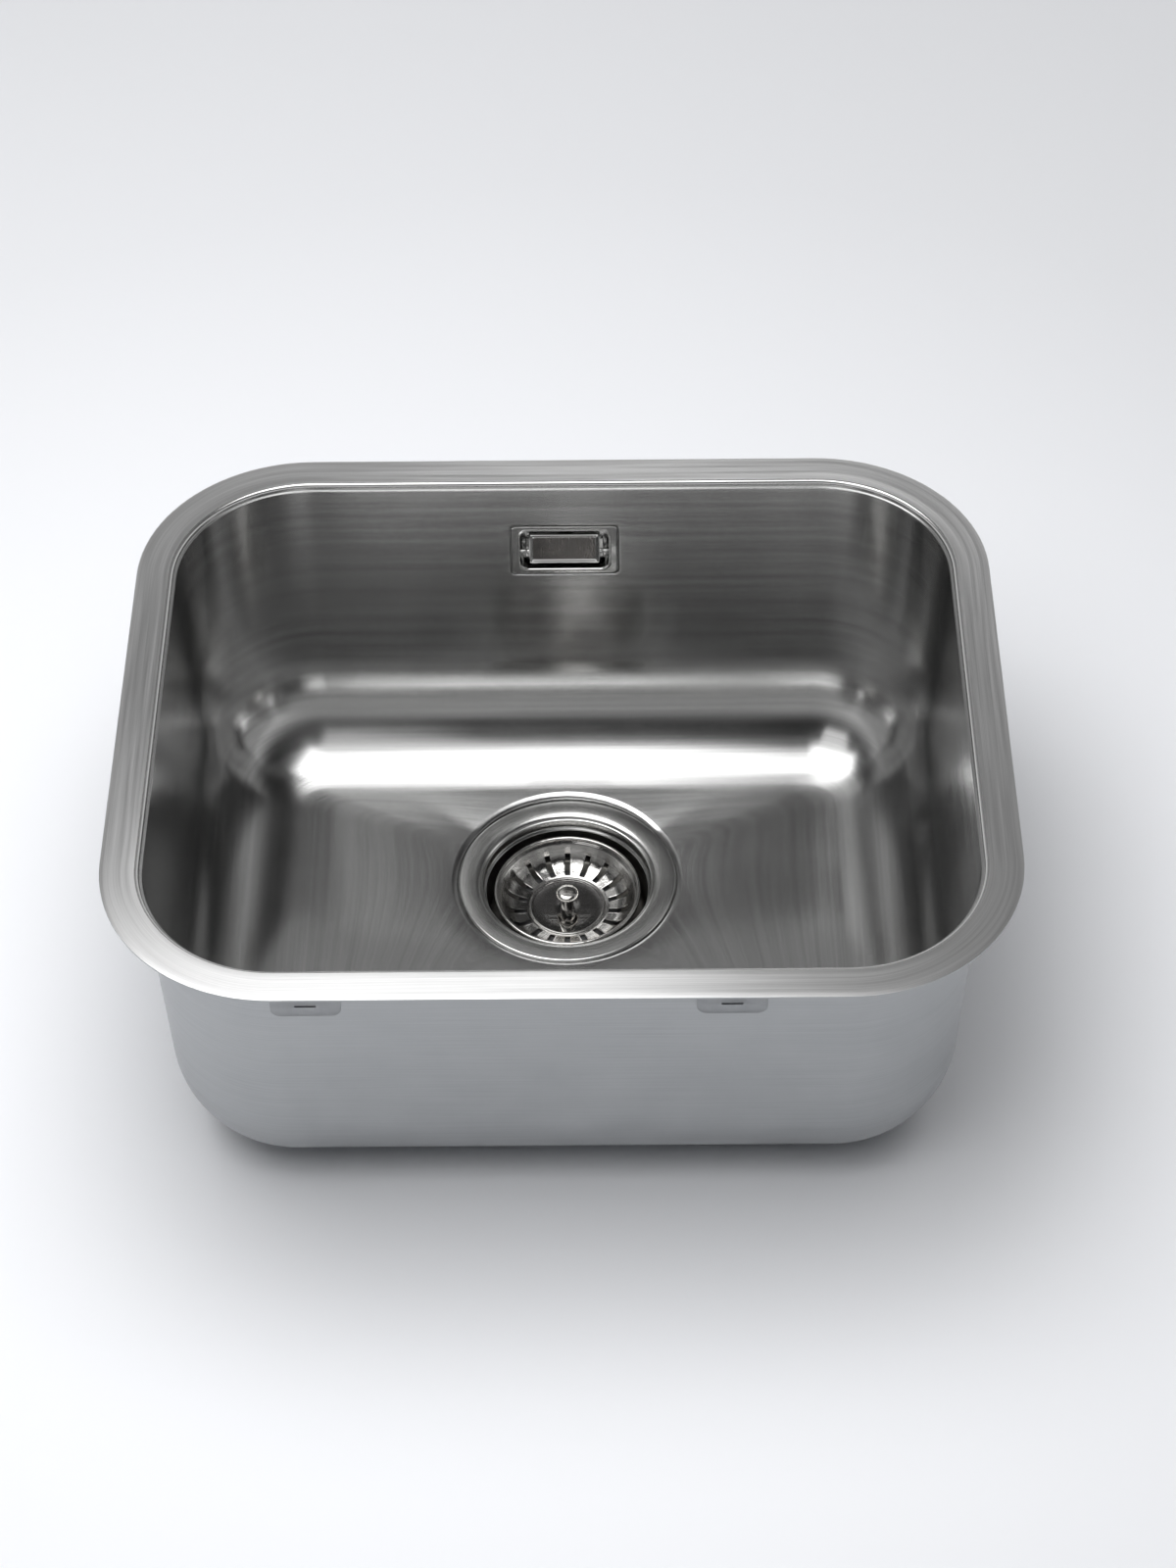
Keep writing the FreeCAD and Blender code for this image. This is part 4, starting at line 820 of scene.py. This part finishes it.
# %% Complete the basket
bmesh.ops.spin(basket_form, geom=whole(basket_form), axis=(0, 0, 1), cent=(0, 0, 0), dvec=(0, 0, 0),
               angle=math.radians(360 - SECTOR), steps=SLOTS - 1, use_merge=False, use_duplicate=True)
bmesh.ops.remove_doubles(basket_form, verts=basket_form.verts, dist=0.001)
thicken(basket_form, 0.8)
soften(basket_form, 0.22, 60, 2)
bead_form = bmesh.new()
upright = Matrix.Translation((38.6, 0, -9.8)) @ Matrix.Rotation(math.radians(90), 4, "X")
bmesh.ops.create_circle(bead_form, segments=20, radius=1.25, matrix=upright)
turn(bead_form, 144)
take_in(basket_form, bead_form)
make_piece(basket_form, "basket_drawn", "basket_unit", ["basket"], [drawn_steel],
           AT_DRAIN @ Matrix.Rotation(math.radians(SECTOR / 2), 4, "Z"))

# %% [markdown]
# The knob is a turned mushroom: a stud through the basket and the stopper, a straight shaft that
# stands on the mirror, and a domed head with a crisp lower edge. It is solid, so its section
# closes on the axis.

# %% Make the knob
knob_form = section(bmesh.new(), [
    (0.0, -26.0), (2.5, -26.0, 0.3), (2.5, -22.5), (3.5, -22.42), (3.5, -17.0), (3.6, -13.9, 0.5),
    (5.5, -13.3, 0.3), (6.05, -12.6, 0.3), (6.0, -11.4, 0.7), (4.5, -10.3, 1.2), (0.0, -10.0),
], steps=4)
turn(knob_form, 64)
make_piece(knob_form, "knob_turned", "basket_unit", ["basket_knob"],
           [polished_steel], AT_DRAIN)

# %% [markdown]
# The overflow's frame is one pressed piece: a plate that fills the recess, a rounded lip, and a
# well whose floor has two water slots and a screw hole. Two lugs hold the centre plate's pivots.

# %% Make the overflow's frame
WELL_FLOOR = -9.0
PIVOT_DOWN = 2.8
WATER_SLOT_OFF = 8.836
frame_form = bmesh.new()
sizes = (27.25, 15.2, 1.5)
ring = first_ring(frame_form, sizes, steps=8, cuts=7, height=-2.0)
ring = rings(frame_form, ring, sizes, (
    ((28.3, 16.3, 2.3), -1.5), ((28.4, 16.4, 2.4), -0.5), ((28.25, 16.25, 2.3), -0.15),
    ((27.9, 15.9, 2.2), 0.0), ((27.6, 15.6, 2.1), 0.0), ((25.3, 14.5, 5.2), 0.0), ((24.9, 14.2, 5.2), 0.0),
    ((24.5, 13.9, 5.3), 0.18), ((24.15, 13.6, 5.3), 0.22), ((23.8, 13.3, 5.2), 0.08),
    ((23.55, 13.05, 5.05), -0.35), ((23.5, 13.0, 5.0), -0.9), ((23.5, 13.0, 5.0), -7.6),
    ((23.3, 12.8, 4.8), -8.5), ((22.6, 12.1, 4.1), WELL_FLOOR),
))
for side in (1, -1):
    spot = Matrix.Translation((0, side * WATER_SLOT_OFF, WELL_FLOOR))
    first_ring(frame_form, (17.0, 2.2, 0.8), spot, steps=3)
bmesh.ops.create_circle(frame_form, segments=20, radius=2.2, matrix=Matrix.Translation((0, 0, WELL_FLOOR)))
fill(frame_form, ring + [e for e in frame_form.edges if e.is_wire])
thicken(frame_form, 0.9)
for side in (-1, 1):
    made = bmesh.ops.create_cube(frame_form, size=1.0, matrix=Matrix.Translation(
        (side * 22.15, -PIVOT_DOWN, -5.0)) @ Matrix.Diagonal((3.3, 4.4, 8.4, 1)))["verts"]
    edges = list({e for v in made for e in v.link_edges})
    bmesh.ops.bevel(frame_form, geom=edges, offset=0.5, offset_type="OFFSET", affect="EDGES",
                    segments=3, profile=0.5, material=-1)
make_piece(frame_form, "overflow_frame_pressed", "sink", ["overflow_frame"],
           [chrome], AT_OVERFLOW)

# %% [markdown]
# The centre plate hides the screw and leaves a gap all round for the water. Its flat face lies in
# a rolled border, and the border's crest and inner groove are why the photo shows two bright lines
# on each long side. A pin at each end, with a collar, lets it tip.

# %% Make the overflow's centre plate
FACE_HALF_WIDTH, FACE_HALF_LENGTH = 16.7, 7.4
plate_form = bmesh.new()
sizes = (18.6, 9.6, 1.3)
ring = first_ring(plate_form, sizes, steps=6, cuts=5, height=-3.5)
ring = rings(plate_form, ring, sizes, (
    ((19.0, 10.0, 1.7), -3.2), ((19.0, 10.0, 1.7), -1.6), ((18.8, 9.8, 1.6), -1.1),
    ((18.4, 9.4, 1.5), -0.85), ((18.0, 9.0, 1.4), -1.05), ((17.5, 8.4, 1.2), -1.6),
    ((17.1, 7.9, 1.1), -1.85), ((FACE_HALF_WIDTH, FACE_HALF_LENGTH, 1.0), -1.7), ((16.4, 7.1, 0.9), -1.7),
    ((15.8, 6.5, 0.9), -1.7),
))
for edges in (ring, [e for e in plate_form.edges if e.is_boundary and e.verts[0].co.z < -3.4]):
    fill(plate_form, edges)
bmesh.ops.recalc_face_normals(plate_form, faces=plate_form.faces)
for face in plate_form.faces:
    x, y, z = face.calc_center_median()
    on_face = z > -1.75 and abs(x) < FACE_HALF_WIDTH and abs(y) < FACE_HALF_LENGTH
    face.material_index = 1 if on_face else 0
for side in (-1, 1):
    pin_form = section(bmesh.new(), [
        (0.0, 18.0), (1.7, 18.0), (1.7, 20.0, 0.3), (1.05, 20.3, 0.1), (1.05, 20.6, 0.1),
        (1.6, 20.8, 0.2), (1.6, 22.3, 0.3), (0.0, 22.3),
    ])
    turn(pin_form, 28)
    stand = Matrix.Translation((0, -PIVOT_DOWN, -2.9)) @ Matrix.Rotation(math.radians(90 * side), 4, "Y")
    bmesh.ops.transform(plate_form, matrix=stand, verts=take_in(plate_form, pin_form))
make_piece(plate_form, "overflow_plate_formed", "overflow_flap", ["overflow_plate"],
           [chrome, plate_face], AT_OVERFLOW)

# %% [markdown]
# Six small plates are spot-welded under the rim; the worktop's clips hook into their slots. Each is
# a rounded rectangle with a slot, filled between its two loops, and thickened away from the wall.

# %% Make the rim's brackets
BRACKET_DOWN = 19.6
NEAR, FAR = 79.5, -119.5


def bracket(name, turned, along, wall):
    """A bracket on the wall that faces away from the bowl's middle, turned by an angle in degrees."""
    form = bmesh.new()
    first_ring(form, (16.5, 14.1, 5.0), steps=8, height=0.05)
    first_ring(form, (5.1, 0.6, 0.5), Matrix.Translation((0, -6.9, 0.05)), steps=4)
    fill(form, form.edges)
    thicken(form, 1.1, up=False)
    soften(form, 0.25, 60, 2)
    stand = (Matrix.Rotation(math.radians(turned), 4, "Z")
             @ Matrix.Translation((along, TAPER * BRACKET_DOWN - wall, -BRACKET_DOWN))
             @ Matrix.Rotation(math.radians(90 + LEAN), 4, "X"))
    make_piece(form, name + "_pressed", "sink", [name], [bracket_steel], stand)


bracket("rim_bracket_front_left", 0, FAR, HALF_LENGTH)
bracket("rim_bracket_front_right", 0, NEAR, HALF_LENGTH)
bracket("rim_bracket_rear_left", 180, NEAR, HALF_LENGTH)
bracket("rim_bracket_rear_right", 180, FAR, HALF_LENGTH)
bracket("rim_bracket_left", 270, 0, HALF_WIDTH)
bracket("rim_bracket_right", 90, 0, HALF_WIDTH)

# %% [markdown]
# The remaining parts are right as measured, and are seen from behind or below, or only when the
# basket is lifted. They keep their shape. Those that show get a merged copy with softened edges,
# because moulded plastic and rubber never end in a knife edge; the hidden ones get their finish.

# %% Soften the plumbing
body_of = {name: body for body, names in frame["record"]["behaviour"]["bodies"].items() for name in names}


def softened(node, material, radius=0.5):
    """A merged copy of a measured part, with rounded edges, in its place."""
    form = bmesh.new()
    form.from_mesh(nodes[node].data)
    bmesh.ops.scale(form, vec=(1000, 1000, 1000), verts=form.verts)
    bmesh.ops.remove_doubles(form, verts=form.verts, dist=0.001)
    bmesh.ops.dissolve_limit(form, angle_limit=math.radians(0.5), verts=form.verts, edges=form.edges,
                             use_dissolve_boundaries=False)
    soften(form, radius, CREASE, 2)
    make_piece(form, node + "_soft", body_of[node], [node], [material])


softened("sound_pads", damping_pad)
softened("waste_body", white_plastic)
softened("overflow_housing", white_plastic)
softened("overflow_pipe", white_plastic)
softened("pipe_nut_top", grey_plastic, 0.3)
softened("pipe_nut_low", grey_plastic, 0.3)

# %% Give the hidden parts their finishes
for material, names in (
    (rubber, ("flange_seal", "body_gasket", "overflow_gasket", "pipe_seal_top", "pipe_seal_low",
              "guide_ring", "stopper_seal")),
    (brass, ("thread_insert", "overflow_nut")),
    (screw_steel, ("fixing_screw", "overflow_screw", "guide_pin", "seal_plate")),
):
    for name in names:
        for held in nodes[name].material_slots:
            held.material = material
    print(material.name, "on", ", ".join(names))
